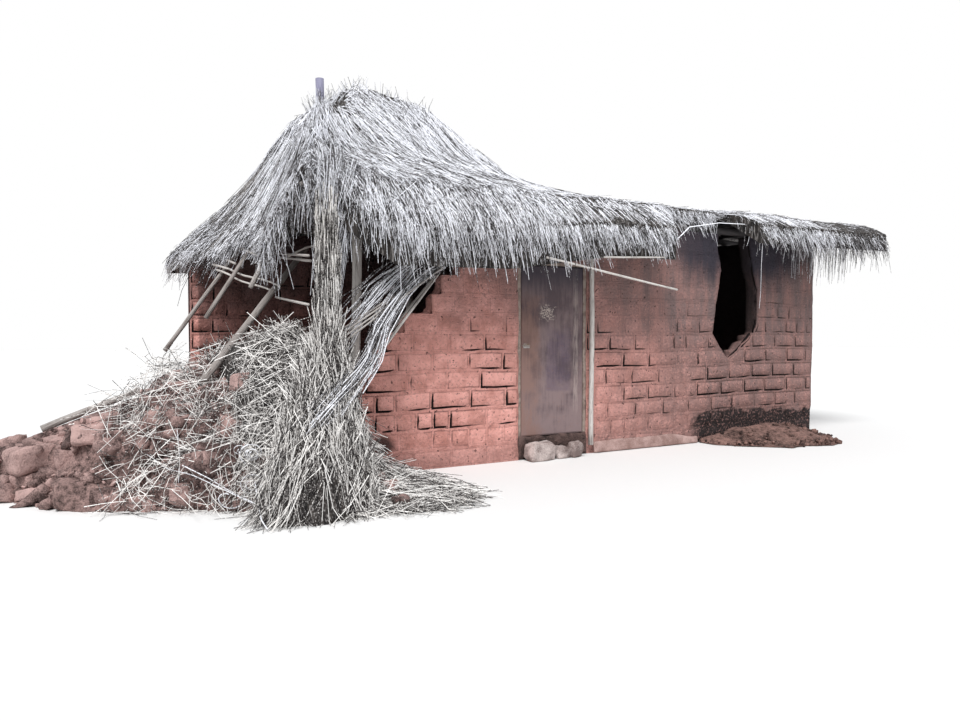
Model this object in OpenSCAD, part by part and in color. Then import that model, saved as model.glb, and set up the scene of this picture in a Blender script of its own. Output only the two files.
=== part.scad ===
/* [Walls] */
// Length of the hut along its front
hut_l = 7500; // [7000:10:8000]
// Depth of the hut from front to back
hut_w = 3000; // [2850:10:3200]
// Height of the walls under the plate poles
wall_h = 2550; // [2450:10:2640]
// Thickness of the mud brick walls
wall_t = 200; // [170:5:230]
// Height of one course of bricks with its joint
course_h = 190; // [185:1:195]
// Length of half a brick with its joint
half_brick = 200; // [190:1:210]
// Loss of height where the back wall has washed away at the left corner
corner_sag = 340; // [250:10:380]

/* [Floor and foot] */
// Height of the rammed earth floor
floor_h = 200; // [150:5:220]
// Height of the mud skirting right of the door
skirting_h = 145; // [120:5:160]
// Depth of the mud skirting in front of the wall
skirting_d = 40; // [30:1:50]
// Height of the soil washed off the wall at its right end
soil_h = 170; // [120:5:200]
// Reach of that soil in front of the wall
soil_d = 1050; // [850:10:1150]

/* [Doorway] */
// Distance of the doorway from the right corner
door_right = 3850; // [3750:10:3900]
// Width of the door leaf
leaf_w = 806; // [780:2:830]
// Height of the door leaf
leaf_h = 1800; // [1720:5:1850]
// Depth of the door leaf and of its frame
leaf_t = 36; // [32:1:42]
// Thickness of the sheet on the leaf
sheet_t = 2; // [1.5:0.1:3]
// Width of the tubes round the leaf
tube_w = 30; // [26:1:34]
// Width of the frame seen from the front
frame_w = 40; // [38:1:50]
// Gap between the leaf and its frame
leaf_gap = 6; // [5.5:0.5:8]
// Height of the earth step under the door leaf
sill_h = 236; // [230:2:260]
// Radius of the hinge barrels
barrel_r = 9; // [8:0.5:10]
// Radius of the hinge pins
pin_r = 6; // [5:0.25:6.5]
// Thickness of the hinge straps
strap_t = 5; // [4:0.5:6]
// Radius of the pole beside the door
door_pole_r = 28; // [24:1:30]

/* [Window hole] */
// Distance of the hole from the right corner
hole_right = 1100; // [1050:10:1150]
// Width of the hole at its widest
hole_w = 810; // [780:10:830]

/* [Roof frame] */
// Radius of the plate poles and the ridge poles
plate_r = 50; // [44:1:55]
// Radius of the rafters
rafter_r = 32; // [28:1:36]
// Radius of the laths
lath_r = 13; // [10:1:15]
// Distance between rafters
rafter_pitch = 610; // [590:5:630]
// Overhang of the thatch past the front and the back wall
eave = 500; // [450:10:540]
// Overhang of the roof past the right end wall
verge = 830; // [780:10:880]
// Distance of the apex post from the left end of the hut
apex_in = 1140; // [1100:10:1200]
// Radius of the apex post
apex_post_r = 52; // [48:1:58]
// Height of the high ridge pole's centre at the apex post
apex_z = 3350; // [3300:10:3400]
// Length of the high ridge pole on plan
high_run = 1190; // [1150:10:1230]
// Drop of the high ridge pole along that length
high_drop = 50; // [30:5:70]
// Length of the broken ridge pole on plan
broken_run = 1210; // [1170:10:1250]
// Height of the ridge pole's centre where the broken length ends
knee_z = 2850; // [2840:5:2870]
// Height of the ridge pole's centre over the right end wall
low_ridge_z = 2700; // [2690:5:2720]
// Radius of the two posts under the ridge
ridge_post_r = 45; // [40:1:50]
// Steepness of the rafters that dropped with the left end wall
dropped_slope = 1.62; // [1.55:0.01:1.7]

/* [Thatch] */
// Thickness of the thatch at the low ridge
thatch_ridge_t = 250; // [230:5:280]
// Extra thickness of the thatch on the high ridge, right of the apex post
crown_t = 350; // [320:5:380]
// Thickness of the thatch on the slopes
thatch_t = 90; // [75:5:105]
// Drop of the straw that hangs over the eave left of its torn part
fringe_drop = 540; // [480:10:580]
// Drop of the straw that hangs over the eave right of it
low_fringe_drop = 300; // [260:10:340]
// Distance of the torn part of the eave from the right corner
tear_right = 1800; // [1700:10:1850]
// Length of the torn part of the eave
tear_l = 1100; // [1050:10:1180]

/* [Fallen end] */
// Height of the rubble where the left end wall stood
heap_h = 1100; // [1050:10:1150]
// Height of the straw above the rubble
mound_h = 550; // [500:10:600]
// Radius of the fallen pole
fallen_r = 35; // [30:1:38]
// Radius of the prop under the front plate pole
prop_r = 48; // [42:1:52]
// Radius of the reeds
reed_r = 9; // [7:0.5:10]

/* [Hidden] */
$fn = 24;

touch = 1;
hair = 0.5;
bore_gap = 0.08;
front_y = -hut_w / 2;
back_y = hut_w / 2;
left_x = -hut_l / 2;
right_x = hut_l / 2;
// Where the mud skirting ends and the washed-off soil begins
soil_x0 = right_x - 2150;
inner_front_y = front_y + wall_t;
inner_back_y = back_y - wall_t;
inner_left_x = left_x + wall_t;
inner_right_x = right_x - wall_t;
courses = ceil(wall_h / course_h);

brick_red = [0.62, 0.36, 0.27];
brick_brown = [0.52, 0.33, 0.26];
earth = [0.55, 0.38, 0.30];
stone_pale = [0.66, 0.60, 0.54];
pole_grey = [0.62, 0.58, 0.52];
straw_grey = [0.66, 0.63, 0.58];
door_grey = [0.33, 0.26, 0.26];
steel_grey = [0.55, 0.55, 0.56];

// Doorway: the frame fills the opening between the two wall pieces
opening_w = leaf_w + 2 * leaf_gap + 2 * frame_w;
door_x1 = right_x - door_right;
door_x0 = door_x1 - opening_w;
leaf_x1 = door_x1 - frame_w - leaf_gap;
leaf_x0 = leaf_x1 - leaf_w;
leaf_z0 = sill_h + leaf_gap;
leaf_z1 = leaf_z0 + leaf_h;
opening_z1 = leaf_z1 + leaf_gap + frame_w;
frame_y = front_y + 20;
leaf_back_y = frame_y + leaf_t;

// Hinge axis: behind the right edge of the leaf, so the leaf swings into the room
pivot_x = leaf_x1 + 3;
pivot_y = leaf_back_y + barrel_r + 2;
hinge_z = [for (u = [0.12, 0.5, 0.88]) leaf_z0 + u * leaf_h];
knuckle_h = 20;
strap_l = 78;

// Window hole, ragged where bricks have dropped out, measured in its width and the wall's height
hole_x1 = right_x - hole_right;
hole_x0 = hole_x1 - hole_w;
function hole(u, v) = [hole_x0 + u * hole_w, v * wall_h];

// Roof plan: f is 0 at the ridge and 1 at the plate poles
plate_y = hut_w / 2 - wall_t / 2;
plate_z = wall_h + plate_r;
apex_x = left_x + apex_in;
verge_x = right_x + verge;
pole_end_x = verge_x - 150;
end_plate_x = left_x + wall_t / 2;
end_run = apex_x - end_plate_x;
f_eave = (hut_w / 2 + eave) / plate_y;
f_curl = 1.22;
f_rafter = 1.2;
seat = plate_r + rafter_r + hair;
lath_seat = seat + rafter_r + lath_r + 1;
bed = lath_seat + lath_r + 10;

// Height of the ridge pole's centre: high, broken and falling, then low
break_x0 = apex_x + high_run;
break_x1 = break_x0 + broken_run;
high_fall = high_drop / high_run;
broken_fall = (apex_z - high_drop - knee_z) / broken_run;
low_fall = (knee_z - low_ridge_z) / (right_x - break_x1);
ridge_profile = [
    [apex_x, apex_z],
    [break_x0, apex_z - high_drop],
    [break_x1, knee_z],
    [verge_x, knee_z - low_fall * (verge_x - break_x1)]
];
function ridge_z(x) = lookup(x, ridge_profile);
function fall(x) = x < break_x0 ? high_fall : x < break_x1 ? broken_fall : low_fall;
function frame_z(x, f) = ridge_z(x) + (plate_z - ridge_z(x)) * f;

// Vertical room that a layer needs over the poles it rests on
function lift(x, h, along) =
    h * sqrt(1 + pow((ridge_z(x) - plate_z) / plate_y, 2) + pow(along, 2));

// The torn part of the eave ends over the wall, and the rest hangs past it
tear_x1 = right_x - tear_right;
tear_x0 = tear_x1 - tear_l;
torn_f = 1.07;
function eave_f(x) = lookup(x, [
    [tear_x0 - 120, f_eave], [tear_x0, torn_f], [tear_x1, torn_f], [tear_x1 + 120, f_eave]
]);

// Thickness of the straw: thick along the ridge and round the apex, thin on the slopes
function ridge_t(x) = thatch_ridge_t + crown_t * lookup(x, [
    [apex_x, 0.05], [apex_x + 400, 1], [break_x0, 0.7], [break_x1, 0.25], [break_x1 + 800, 0]
]);
function shoulder_t(x) = thatch_t + crown_t * lookup(x, [
    [apex_x, 0.75], [break_x0, 0.75], [break_x1, 0.4], [break_x1 + 800, 0.2]
]);
function straw_t(f, x) = lookup(f, [
    [0, ridge_t(x)], [0.25, shoulder_t(x)], [0.55, thatch_t * 1.3], [0.8, thatch_t]
]);
function fringe_at(x) = lookup(x, [[tear_x0, fringe_drop], [tear_x1, low_fringe_drop]]);
function curl(f, x) =
    f <= f_curl ? 0 : fringe_at(x) * pow((f - f_curl) / (f_eave - f_curl), 1.3);

rows = [0, 0.17, 0.385, 0.6, 0.78, f_curl / f_eave, 0.93, 1];
function under_point(x, u, side) = let (f = u * eave_f(x))
    [x, side * f * plate_y, frame_z(x, f) + lift(x, bed, broken_fall) - curl(f, x)];
function over_point(x, u, side) = let (f = u * eave_f(x))
    [x, side * f * plate_y, frame_z(x, f) + lift(x, bed, broken_fall)
        - 0.45 * curl(f, x) + straw_t(f, x)];

// Closed band of triangles between two grids of the same size
module slab_between(under, over) {
    m = len(under);
    n = len(under[0]);
    pts = concat([for (row = under) each row], [for (row = over) each row]);
    o = m * n;
    faces = concat(
        [for (i = [0:m - 2], j = [0:n - 2]) each [
            [i * n + j, (i + 1) * n + j, i * n + j + 1],
            [i * n + j + 1, (i + 1) * n + j, (i + 1) * n + j + 1]
        ]],
        [for (i = [0:m - 2], j = [0:n - 2]) each [
            [o + i * n + j, o + i * n + j + 1, o + (i + 1) * n + j],
            [o + i * n + j + 1, o + (i + 1) * n + j + 1, o + (i + 1) * n + j]
        ]],
        [for (j = [0:n - 2]) each [
            [j, j + 1, o + j],
            [j + 1, o + j + 1, o + j]
        ]],
        [for (j = [0:n - 2]) let (a = (m - 1) * n + j) each [
            [a, o + a, a + 1],
            [a + 1, o + a, o + a + 1]
        ]],
        [for (i = [0:m - 2]) let (a = i * n, b = (i + 1) * n) each [
            [a, o + a, b],
            [b, o + a, o + b]
        ]],
        [for (i = [0:m - 2]) let (a = i * n + n - 1, b = (i + 1) * n + n - 1) each [
            [a, b, o + a],
            [b, o + b, o + a]
        ]]
    );
    polyhedron(points = pts, faces = faces, convexity = 6);
}

// Closed body through rings of points, from the lowest ring to the highest
module loft(rings) {
    m = len(rings);
    n = len(rings[0]);
    pts = [for (ring = rings) each ring];
    faces = concat(
        [[for (i = [0:n - 1]) i]],
        [[for (i = [n - 1:-1:0]) (m - 1) * n + i]],
        [for (j = [0:m - 2], i = [0:n - 1]) let (k = (i + 1) % n) each [
            [j * n + i, (j + 1) * n + i, j * n + k],
            [j * n + k, (j + 1) * n + i, (j + 1) * n + k]
        ]]
    );
    polyhedron(points = pts, faces = faces, convexity = 4);
}

// A straight pole between two points
module pole(a, b, r) {
    v = b - a;
    l = norm(v);
    translate(a)
        rotate([0, acos(v[2] / l), atan2(v[1], v[0])])
            cylinder(h = l, r = r);
}

module wall_outline_x(points, y0) {
    translate([0, y0 + wall_t, 0])
        rotate([90, 0, 0])
            linear_extrude(height = wall_t)
                polygon(points);
}

module earth_floor() {
    color(earth)
        translate([inner_left_x, inner_front_y, 0])
            cube([inner_right_x - inner_left_x, inner_back_y - inner_front_y, floor_h]);
}

// Half bricks still standing at a height, counted from the doorway to the broken edge
function standing(v) = round(lookup(v, [
    [0.16, 9.6], [0.25, 9.1], [0.33, 8.5], [0.4, 8], [0.5, 6.6], [0.6, 5], [0.75, 3.7], [1, 2.5]
]) * 2) / 2;
module front_wall_left() {
    color(brick_red)
        translate([0, front_y + wall_t, 0])
            rotate([90, 0, 0])
                linear_extrude(height = wall_t)
                    for (i = [0:courses - 1])
                        let (
                            z0 = i * course_h,
                            z1 = min(z0 + course_h, wall_h),
                            run = i < 2 ? door_x0 - left_x : standing(z0 / wall_h) * half_brick
                        )
                            translate([door_x0 - run, z0])
                                square([run, z1 - z0]);
}

module front_wall_over_door() {
    color(brick_brown)
        translate([door_x0, front_y, opening_z1])
            cube([opening_w, wall_t, wall_h - opening_z1]);
}

module front_wall_middle() {
    color(brick_red)
        wall_outline_x([
            [door_x1, 0], hole(0, 0), hole(0, 0.518), hole(0.037, 0.588), hole(0.11, 0.706),
            hole(0.185, 0.824), hole(0.11, 0.92), hole(0.11, 1), [door_x1, wall_h]
        ], front_y);
}

module front_wall_under_window() {
    color(brick_red)
        wall_outline_x([
            hole(0, 0), hole(1, 0), hole(1, 0.549), hole(0.864, 0.49), hole(0.68, 0.478),
            hole(0.506, 0.412), hole(0.346, 0.404), hole(0.136, 0.463), hole(0, 0.518)
        ], front_y);
}

module front_wall_right() {
    color(brick_brown)
        wall_outline_x([
            hole(1, 0), [right_x, 0], [right_x, wall_h], hole(0.79, 1),
            hole(0.864, 0.863), hole(1, 0.745), hole(1, 0.549)
        ], front_y);
}

module right_end_wall() {
    half = inner_back_y;
    gable_z = ridge_z(right_x) - plate_r - 2 * hair;
    color(brick_brown)
        translate([inner_right_x, 0, 0])
            rotate([90, 0, 90])
                linear_extrude(height = wall_t)
                    polygon([
                        [-half, 0], [half, 0], [half, wall_h], [plate_r, gable_z],
                        [-plate_r, gable_z], [-half, wall_h]
                    ]);
}

back_split_x = apex_x + 0.5 * apex_in;
module back_wall_left() {
    sag = corner_sag * (apex_x - left_x) / end_run + 2;
    color(brick_brown)
        wall_outline_x([
            [left_x, 0], [back_split_x, 0], [back_split_x, wall_h], [apex_x, wall_h],
            [left_x, wall_h - sag]
        ], inner_back_y);
}

module back_wall_right() {
    color(brick_brown)
        translate([back_split_x, inner_back_y, 0])
            cube([right_x - back_split_x, wall_t, wall_h]);
}

// Half bricks left of the end wall in each course, counted from the back wall
stub_bricks = [18, 18, 8];
module left_end_wall_stub() {
    depth = inner_back_y - inner_front_y;
    color(brick_brown)
        translate([left_x, 0, 0])
            rotate([90, 0, 90])
                linear_extrude(height = wall_t)
                    for (i = [0:len(stub_bricks) - 1])
                        let (run = min(depth, stub_bricks[i] * half_brick))
                            translate([inner_back_y - run, i * course_h])
                                square([run, course_h]);
}

module mud_skirting() {
    x0 = door_x1 + 2 * door_pole_r + 30;
    color(stone_pale)
        translate([x0, front_y, 0])
            rotate([90, 0, 90])
                linear_extrude(height = soil_x0 - 10 - x0)
                    polygon([
                        [0, 0], [-skirting_d, 0], [-skirting_d, skirting_h - 35],
                        [-8, skirting_h], [0, skirting_h]
                    ]);
}

module door_step() {
    color(earth)
        translate([door_x0, front_y, 0])
            cube([opening_w, wall_t, sill_h]);
}

// Broken stones: blocks cut by a turned block
module stone(size, turn) {
    translate([0, 0, size[2] / 2])
        intersection() {
            cube(size, center = true);
            rotate([turn, turn * 0.7, turn])
                cube([size[0] * 0.98, size[1] * 1.1, size[2] * 1.25], center = true);
        }
}

module doorway_stones() {
    color(stone_pale)
        translate([leaf_x0 + 160, front_y - 110, 0])
            stone([320, 190, 180], 14);
    color(stone_pale)
        translate([leaf_x0 + 440, front_y - 90, 0])
            stone([170, 150, 120], 24);
    color(stone_pale)
        translate([leaf_x0 + 620, front_y - 100, 0])
            stone([150, 140, 150], 33);
}

// Soil washed off the wall: a low bank that thins out in front of it
module washed_soil() {
    x0 = soil_x0;
    x1 = right_x - 100;
    v = [0, 0.2, 0.45, 0.72, 1];
    height = [1, 0.92, 0.5, 0.16, 0.02];
    swell = [0.15, 0.5, 0.85, 0.7, 1, 0.9, 0.45, 0.15];
    reach = [0.3, 0.6, 0.9, 0.85, 1, 0.9, 0.6, 0.3];
    m = len(swell) - 1;
    under = [for (i = [0:m]) [for (j = [0:4])
        [x0 + (x1 - x0) * i / m, front_y - v[j] * reach[i] * soil_d, 0]]];
    over = [for (i = [0:m]) [for (j = [0:4])
        [under[i][j][0], under[i][j][1], soil_h * (swell[i] * height[j] + 0.02)]]];
    color(earth)
        slab_between(over, under);
}

// Frame of the door with the keeper of the bolt on its left jamb
module door_frame() {
    color(pole_grey)
        union() {
            translate([door_x0, frame_y, sill_h])
                difference() {
                    cube([opening_w, leaf_t, opening_z1 - sill_h]);
                    translate([frame_w, -touch, -touch])
                        cube([opening_w - 2 * frame_w, leaf_t + 2 * touch,
                            opening_z1 - sill_h - frame_w + touch]);
                }
            translate([door_x0 + 6, frame_y - 12, bolt_z - 14])
                difference() {
                    cube([24, 13, 28]);
                    translate([-touch, 4, 6])
                        cube([24 + 2 * touch, 5, 16]);
                }
        }
}

module door_leaf() {
    inner_w = leaf_w - 2 * tube_w;
    rail_z = leaf_h * 0.48;
    color(door_grey)
        translate([leaf_x0, frame_y, leaf_z0])
            difference() {
                cube([leaf_w, leaf_t, leaf_h]);
                translate([tube_w, sheet_t, tube_w])
                    cube([inner_w, leaf_t, rail_z - tube_w]);
                translate([tube_w, sheet_t, rail_z + tube_w])
                    cube([inner_w, leaf_t, leaf_h - rail_z - 2 * tube_w]);
            }
}

// Hinge halves on the frame: strap, upper and lower knuckle and the pin through both
module door_hinge_pins() {
    color(steel_grey)
        for (z = hinge_z)
            translate([pivot_x, pivot_y, z]) {
                translate([0, 0, -knuckle_h * 1.5 - 1]) {
                    cylinder(h = knuckle_h, r = barrel_r);
                    translate([0, -barrel_r - 2, 0])
                        cube([barrel_r + 3, strap_t, knuckle_h]);
                }
                translate([0, 0, knuckle_h * 0.5 + 1]) {
                    cylinder(h = knuckle_h, r = barrel_r);
                    translate([0, -barrel_r - 2, 0])
                        cube([barrel_r + 3, strap_t, knuckle_h]);
                }
                translate([0, 0, -knuckle_h * 1.5 - 4])
                    cylinder(h = knuckle_h * 3 + 8, r = pin_r);
                translate([barrel_r + 2, -barrel_r - 2, -knuckle_h * 1.5 - 1])
                    cube([frame_w - barrel_r - 4, strap_t, knuckle_h * 3 + 2]);
            }
}

// Hinge halves on the leaf: long strap and middle knuckle with its bore
module door_hinge_knuckles() {
    color(steel_grey)
        for (z = hinge_z)
            translate([pivot_x, pivot_y, z])
                difference() {
                    union() {
                        translate([0, 0, -knuckle_h / 2])
                            cylinder(h = knuckle_h, r = barrel_r);
                        translate([-barrel_r - 4, -barrel_r - 2, -knuckle_h / 2])
                            cube([barrel_r + 4, strap_t, knuckle_h]);
                        translate([-strap_l, -barrel_r - 2, -knuckle_h])
                            cube([strap_l - barrel_r - 3, strap_t, 2 * knuckle_h]);
                    }
                    translate([0, 0, -knuckle_h])
                        cylinder(h = 2 * knuckle_h, r = pin_r + bore_gap);
                }
}

// Slide bolt, drawn back, with its hasp
bolt_z = leaf_z0 + leaf_h * 0.53;
module door_bolt() {
    color(steel_grey)
        translate([leaf_x0 + 8, frame_y, bolt_z]) {
            translate([0, -3, -24])
                cube([96, 3, 48]);
            translate([2, -8, 0])
                rotate([0, 90, 0])
                    cylinder(h = 92, r = 6);
            translate([60, -22, -5])
                cube([10, 14, 10]);
        }
}

module door_side_pole() {
    x = door_x1 + door_pole_r + 6;
    color(pole_grey)
        pole([x, front_y - door_pole_r - 4, floor_h / 2],
            [x + 6, front_y - door_pole_r - 8, wall_h - 60], door_pole_r);
}

module front_plate_pole() {
    color(pole_grey)
        pole([prop_x - 200, -plate_y, plate_z], [pole_end_x, -plate_y, plate_z], plate_r);
}

// The back plate pole broke where the wall under it washed away
module back_plate_pole() {
    fall_l = corner_sag / end_run;
    x0 = apex_x - 40;
    x1 = left_x + 40;
    rest_z = plate_z + plate_r * (sqrt(1 + fall_l * fall_l) - 1) + 1;
    color(pole_grey) {
        pole([apex_x + 40, plate_y, plate_z], [pole_end_x, plate_y, plate_z], plate_r);
        pole([x0, plate_y, rest_z - fall_l * (apex_x - x0)],
            [x1, plate_y, rest_z - fall_l * (apex_x - x1)], plate_r);
    }
}

module ridge_length(x0, x1) {
    color(pole_grey)
        pole([x0, 0, ridge_z(x0)], [x1, 0, ridge_z(x1)], plate_r);
}

module high_ridge_pole() ridge_length(apex_x + apex_post_r + 8, break_x0 - 30);
module broken_ridge_pole() ridge_length(break_x0 + 30, break_x1 - 30);
module low_ridge_pole() ridge_length(break_x1 + 30, pole_end_x);

apex_post_z = apex_z + thatch_ridge_t + crown_t + 150;
module apex_post() {
    color(pole_grey)
        translate([apex_x, 0, floor_h])
            cylinder(h = apex_post_z - floor_h, r = apex_post_r);
}

module ridge_posts() {
    color(pole_grey)
        for (x = [break_x0 - 120, break_x1 + 120])
            translate([x, 0, floor_h])
                cylinder(
                    h = ridge_z(x + ridge_post_r) - plate_r * 1.01 - hair - floor_h,
                    r = ridge_post_r);
}

module slope_rafters(side, shift) {
    color(pole_grey)
        for (x = [apex_x + 130 + shift : rafter_pitch : pole_end_x])
            let (
                f = min(f_rafter, eave_f(x) - 0.02),
                up = lift(x, seat, fall(x)),
                y0 = 26
            )
                pole([x, side * y0, frame_z(x, y0 / plate_y) + up],
                    [x, side * f * plate_y, frame_z(x, f) + up], rafter_r);
}

module front_rafters() slope_rafters(-1, 0);
module back_rafters() slope_rafters(1, 90);

// Laths lie along each straight part of the roof, on top of the rafters
module slope_laths(side) {
    spans = [
        [apex_x + 70, break_x0 - 25], [break_x0 + 25, break_x1 - 25],
        [break_x1 + 25, pole_end_x]
    ];
    eave_spans = [
        [apex_x + 70, break_x0 - 25], [break_x0 + 25, break_x1 - 25],
        [break_x1 + 25, tear_x0 - 180], [tear_x1 + 180, pole_end_x]
    ];
    color(pole_grey) {
        for (f = [0.12, 0.34, 0.56, 0.78], s = spans)
            lath_on_slope(s, f, side);
        for (f = [1.02, 1.17], s = eave_spans)
            lath_on_slope(s, f, side);
        lath_on_slope([tear_x0 + 30, tear_x1 - 30], 1.02, side);
    }
}

module lath_on_slope(s, f, side) {
    y = side * f * plate_y;
    pole([s[0], y, frame_z(s[0], f) + lift(s[0], lath_seat, broken_fall)],
        [s[1], y, frame_z(s[1], f) + lift(s[1], lath_seat, broken_fall)], lath_r);
}

module front_laths() slope_laths(-1);
module back_laths() slope_laths(1);

// Hip round the apex: distance to the plates in the direction a
function plate_run(a) = min(
    abs(cos(a)) < 0.01 ? 1e6 : end_run / abs(cos(a)),
    plate_y / max(abs(sin(a)), 0.001));
corner_a = atan2(plate_y, end_run);
back_corner = 180 - corner_a;
front_corner = 180 + corner_a;
main_slope = (apex_z - plate_z) / plate_y;

// Steepness of the roof in the direction a: dropped at the left end, sagging at the back corner
function back_slope(a) = let (r = plate_run(a))
    (apex_z - plate_z + corner_sag * min(1, -r * cos(a) / end_run)) / r;
hip_slopes = [
    [90, main_slope],
    [106, back_slope(106)],
    [back_corner, back_slope(back_corner)],
    [154, dropped_slope * 0.85],
    [180, dropped_slope],
    [212, dropped_slope * 0.98],
    [246, (apex_z - plate_z) / plate_run(246)],
    [258, (apex_z - plate_z) / plate_run(258)],
    [270, main_slope]
];
function hip_fall(a) = lookup(a, hip_slopes);
function side_fall(a) = lookup(a, [
    [106, broken_fall], [130, 0.8], [212, 0.8], [226, 1.2], [246, 0.7], [262, broken_fall]
]);
function lean(a) = sqrt(1 + pow(hip_fall(a), 2) + pow(side_fall(a), 2));
hip_r = rafter_r * 0.75;
hip_base = seat + rafter_r - hip_r;
function hip_point(a, r, h) = let (
        k = lean(90) + (lean(a) - lean(90)) * min(1, r / 150)
    )
    [apex_x + r * cos(a), r * sin(a),
        apex_z - hip_fall(a) * r + hip_base * lean(90) + (h - hip_base) * k];

// The straw still covers this share of each direction
function hip_eave_f(a) = lookup(a, [
    [90, f_eave], [back_corner, 1.28], [142, 1.04], [154, 0.88], [180, 0.74], [212, 0.7],
    [230, 0.86], [246, 1.12], [258, 1.36], [270, f_eave]
]);

// Rafters round the apex: direction and length, some broken off with the wall
hip_rafter_list = [
    [106, plate_run(106) * 1.16],
    [back_corner, plate_run(back_corner) * 1.16],
    [154, 1684],
    [180, 1220],
    [212, 1060],
    [246, plate_run(246) * 1.1]
];
module hip_rafters() {
    color(pole_grey)
        for (h = hip_rafter_list)
            pole(hip_point(h[0], 150, hip_base), hip_point(h[0], h[1], hip_base), hip_r);
}

// Rise of a lath over the rafter in the direction a, so that the two touch where they cross
function over_rafter(a, e) = let (
        run = norm([e[0], e[1]]),
        c = e[2] / run,
        ex = e[0] / run,
        ey = e[1] / run,
        m = hip_fall(a),
        det = cos(a) * ey - sin(a) * ex,
        gx = (-m * ey - sin(a) * c) / det,
        gy = (cos(a) * c + m * ex) / det
    )
    [0, 0, (hip_r + lath_r + 1.5) * sqrt(1 + gx * gx + gy * gy)];

// Laths between neighbouring hip rafters, each ending just short of the next one
module hip_lath(a0, a1, f) {
    p = hip_point(a0, f * plate_run(a0), hip_base);
    q = hip_point(a1, f * plate_run(a1), hip_base);
    e = q - p;
    p1 = p + over_rafter(a0, e);
    q1 = q + over_rafter(a1, e);
    gap = (lath_r + 2) * (q1 - p1) / norm(q1 - p1);
    pole(p1 + gap, q1 - gap, lath_r);
}

module hip_laths() {
    dirs = [for (h = hip_rafter_list) h[0]];
    color(pole_grey) {
        for (f = [0.3, 0.52, 0.72], i = [0:3])
            hip_lath(dirs[i], dirs[i + 1], f);
        for (f = [0.9, 1.08])
            hip_lath(dirs[0], dirs[1], f);
        hip_lath(dirs[2], dirs[3], 0.88);
        pole([left_x + 520, -480, 2130], [left_x + 450, -1740, 1990], lath_r);
        pole([left_x + 550, -520, 2085], [left_x + 480, -1700, 1950], lath_r);
        pole([left_x + 460, -660, 1680], [left_x + 440, -1760, 1570], lath_r);
    }
}

// Room over the laths where the hip twists between two rafters
function twist_room(a) = lookup(a, [
    [back_corner, 14], [142, 72], [154, 14], [167, 36], [180, 14], [196, 36], [212, 14]
]);
function hip_under(a, u) = let (
        f = u * hip_eave_f(a),
        p = hip_point(a, f * plate_run(a), bed)
    )
    [p[0], p[1], p[2] + twist_room(a) * min(1, u * 3) - curl(f, apex_x)];
function hip_over(a, u) = let (
        f = u * hip_eave_f(a),
        p = hip_point(a, f * plate_run(a), bed),
        steep = sqrt((1 + pow(hip_fall(a), 2)) / (1 + pow(main_slope, 2)))
    )
    [p[0], p[1], p[2] - 0.45 * curl(f, apex_x) + straw_t(f, apex_x)
        + (steep - 1) * thatch_t * min(1, f * 2)];

module post_hole() {
    translate([apex_x, 0, apex_z])
        cylinder(h = 2000, r = apex_post_r + 6);
}

module hip_thatch(angles) {
    color(straw_grey)
        difference() {
            slab_between(
                [for (a = angles) [for (u = rows) hip_under(a, max(u, 0.01))]],
                [for (a = angles) [for (u = rows) hip_over(a, max(u, 0.01))]]);
            post_hole();
        }
}

module hip_thatch_back() hip_thatch([90, 98, 106, 118, back_corner]);
module hip_thatch_end()
    hip_thatch([back_corner, 142, 154, 167, 180, 196, 212, front_corner]);
module hip_thatch_front() hip_thatch([front_corner, 238, 246, 258, 270]);

function steps(x0, x1, n) = [for (i = [1:n]) x0 + (x1 - x0) * i / n];
thatch_x = concat([apex_x], steps(apex_x, break_x0, 4), steps(break_x0, break_x1, 6),
    steps(break_x1, tear_x0 - 120, 3), steps(tear_x0 - 120, tear_x0, 1),
    steps(tear_x0, tear_x1, 3), steps(tear_x1, tear_x1 + 120, 1),
    steps(tear_x1 + 120, verge_x, 5));
back_x = concat([apex_x], steps(apex_x, break_x0, 4), steps(break_x0, break_x1, 6),
    steps(break_x1, verge_x, 9));

module front_thatch() {
    color(straw_grey)
        difference() {
            slab_between(
                [for (x = thatch_x) [for (u = rows) over_point(x, u, -1)]],
                [for (x = thatch_x) [for (u = rows) under_point(x, u, -1)]]);
            post_hole();
        }
}

module back_thatch() {
    color(straw_grey)
        difference() {
            slab_between(
                [for (x = back_x) [for (u = rows) back_under(x, u)]],
                [for (x = back_x) [for (u = rows) back_over(x, u)]]);
            post_hole();
        }
}

function back_under(x, u) = let (f = u * f_eave)
    [x, f * plate_y, frame_z(x, f) + lift(x, bed, broken_fall) - curl(f, x)];
function back_over(x, u) = let (p = back_under(x, u), f = u * f_eave)
    [x, p[1], p[2] + 0.55 * curl(f, x) + straw_t(f, x)];

// Prop that carries the end of the front plate pole where its wall has gone
prop_x = left_x + 1050;
module prop_post() {
    color(pole_grey)
        pole([prop_x + 40, -plate_y + 280, floor_h + 7],
            [prop_x - 20, -plate_y, plate_z - plate_r - 6], prop_r);
}

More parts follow.
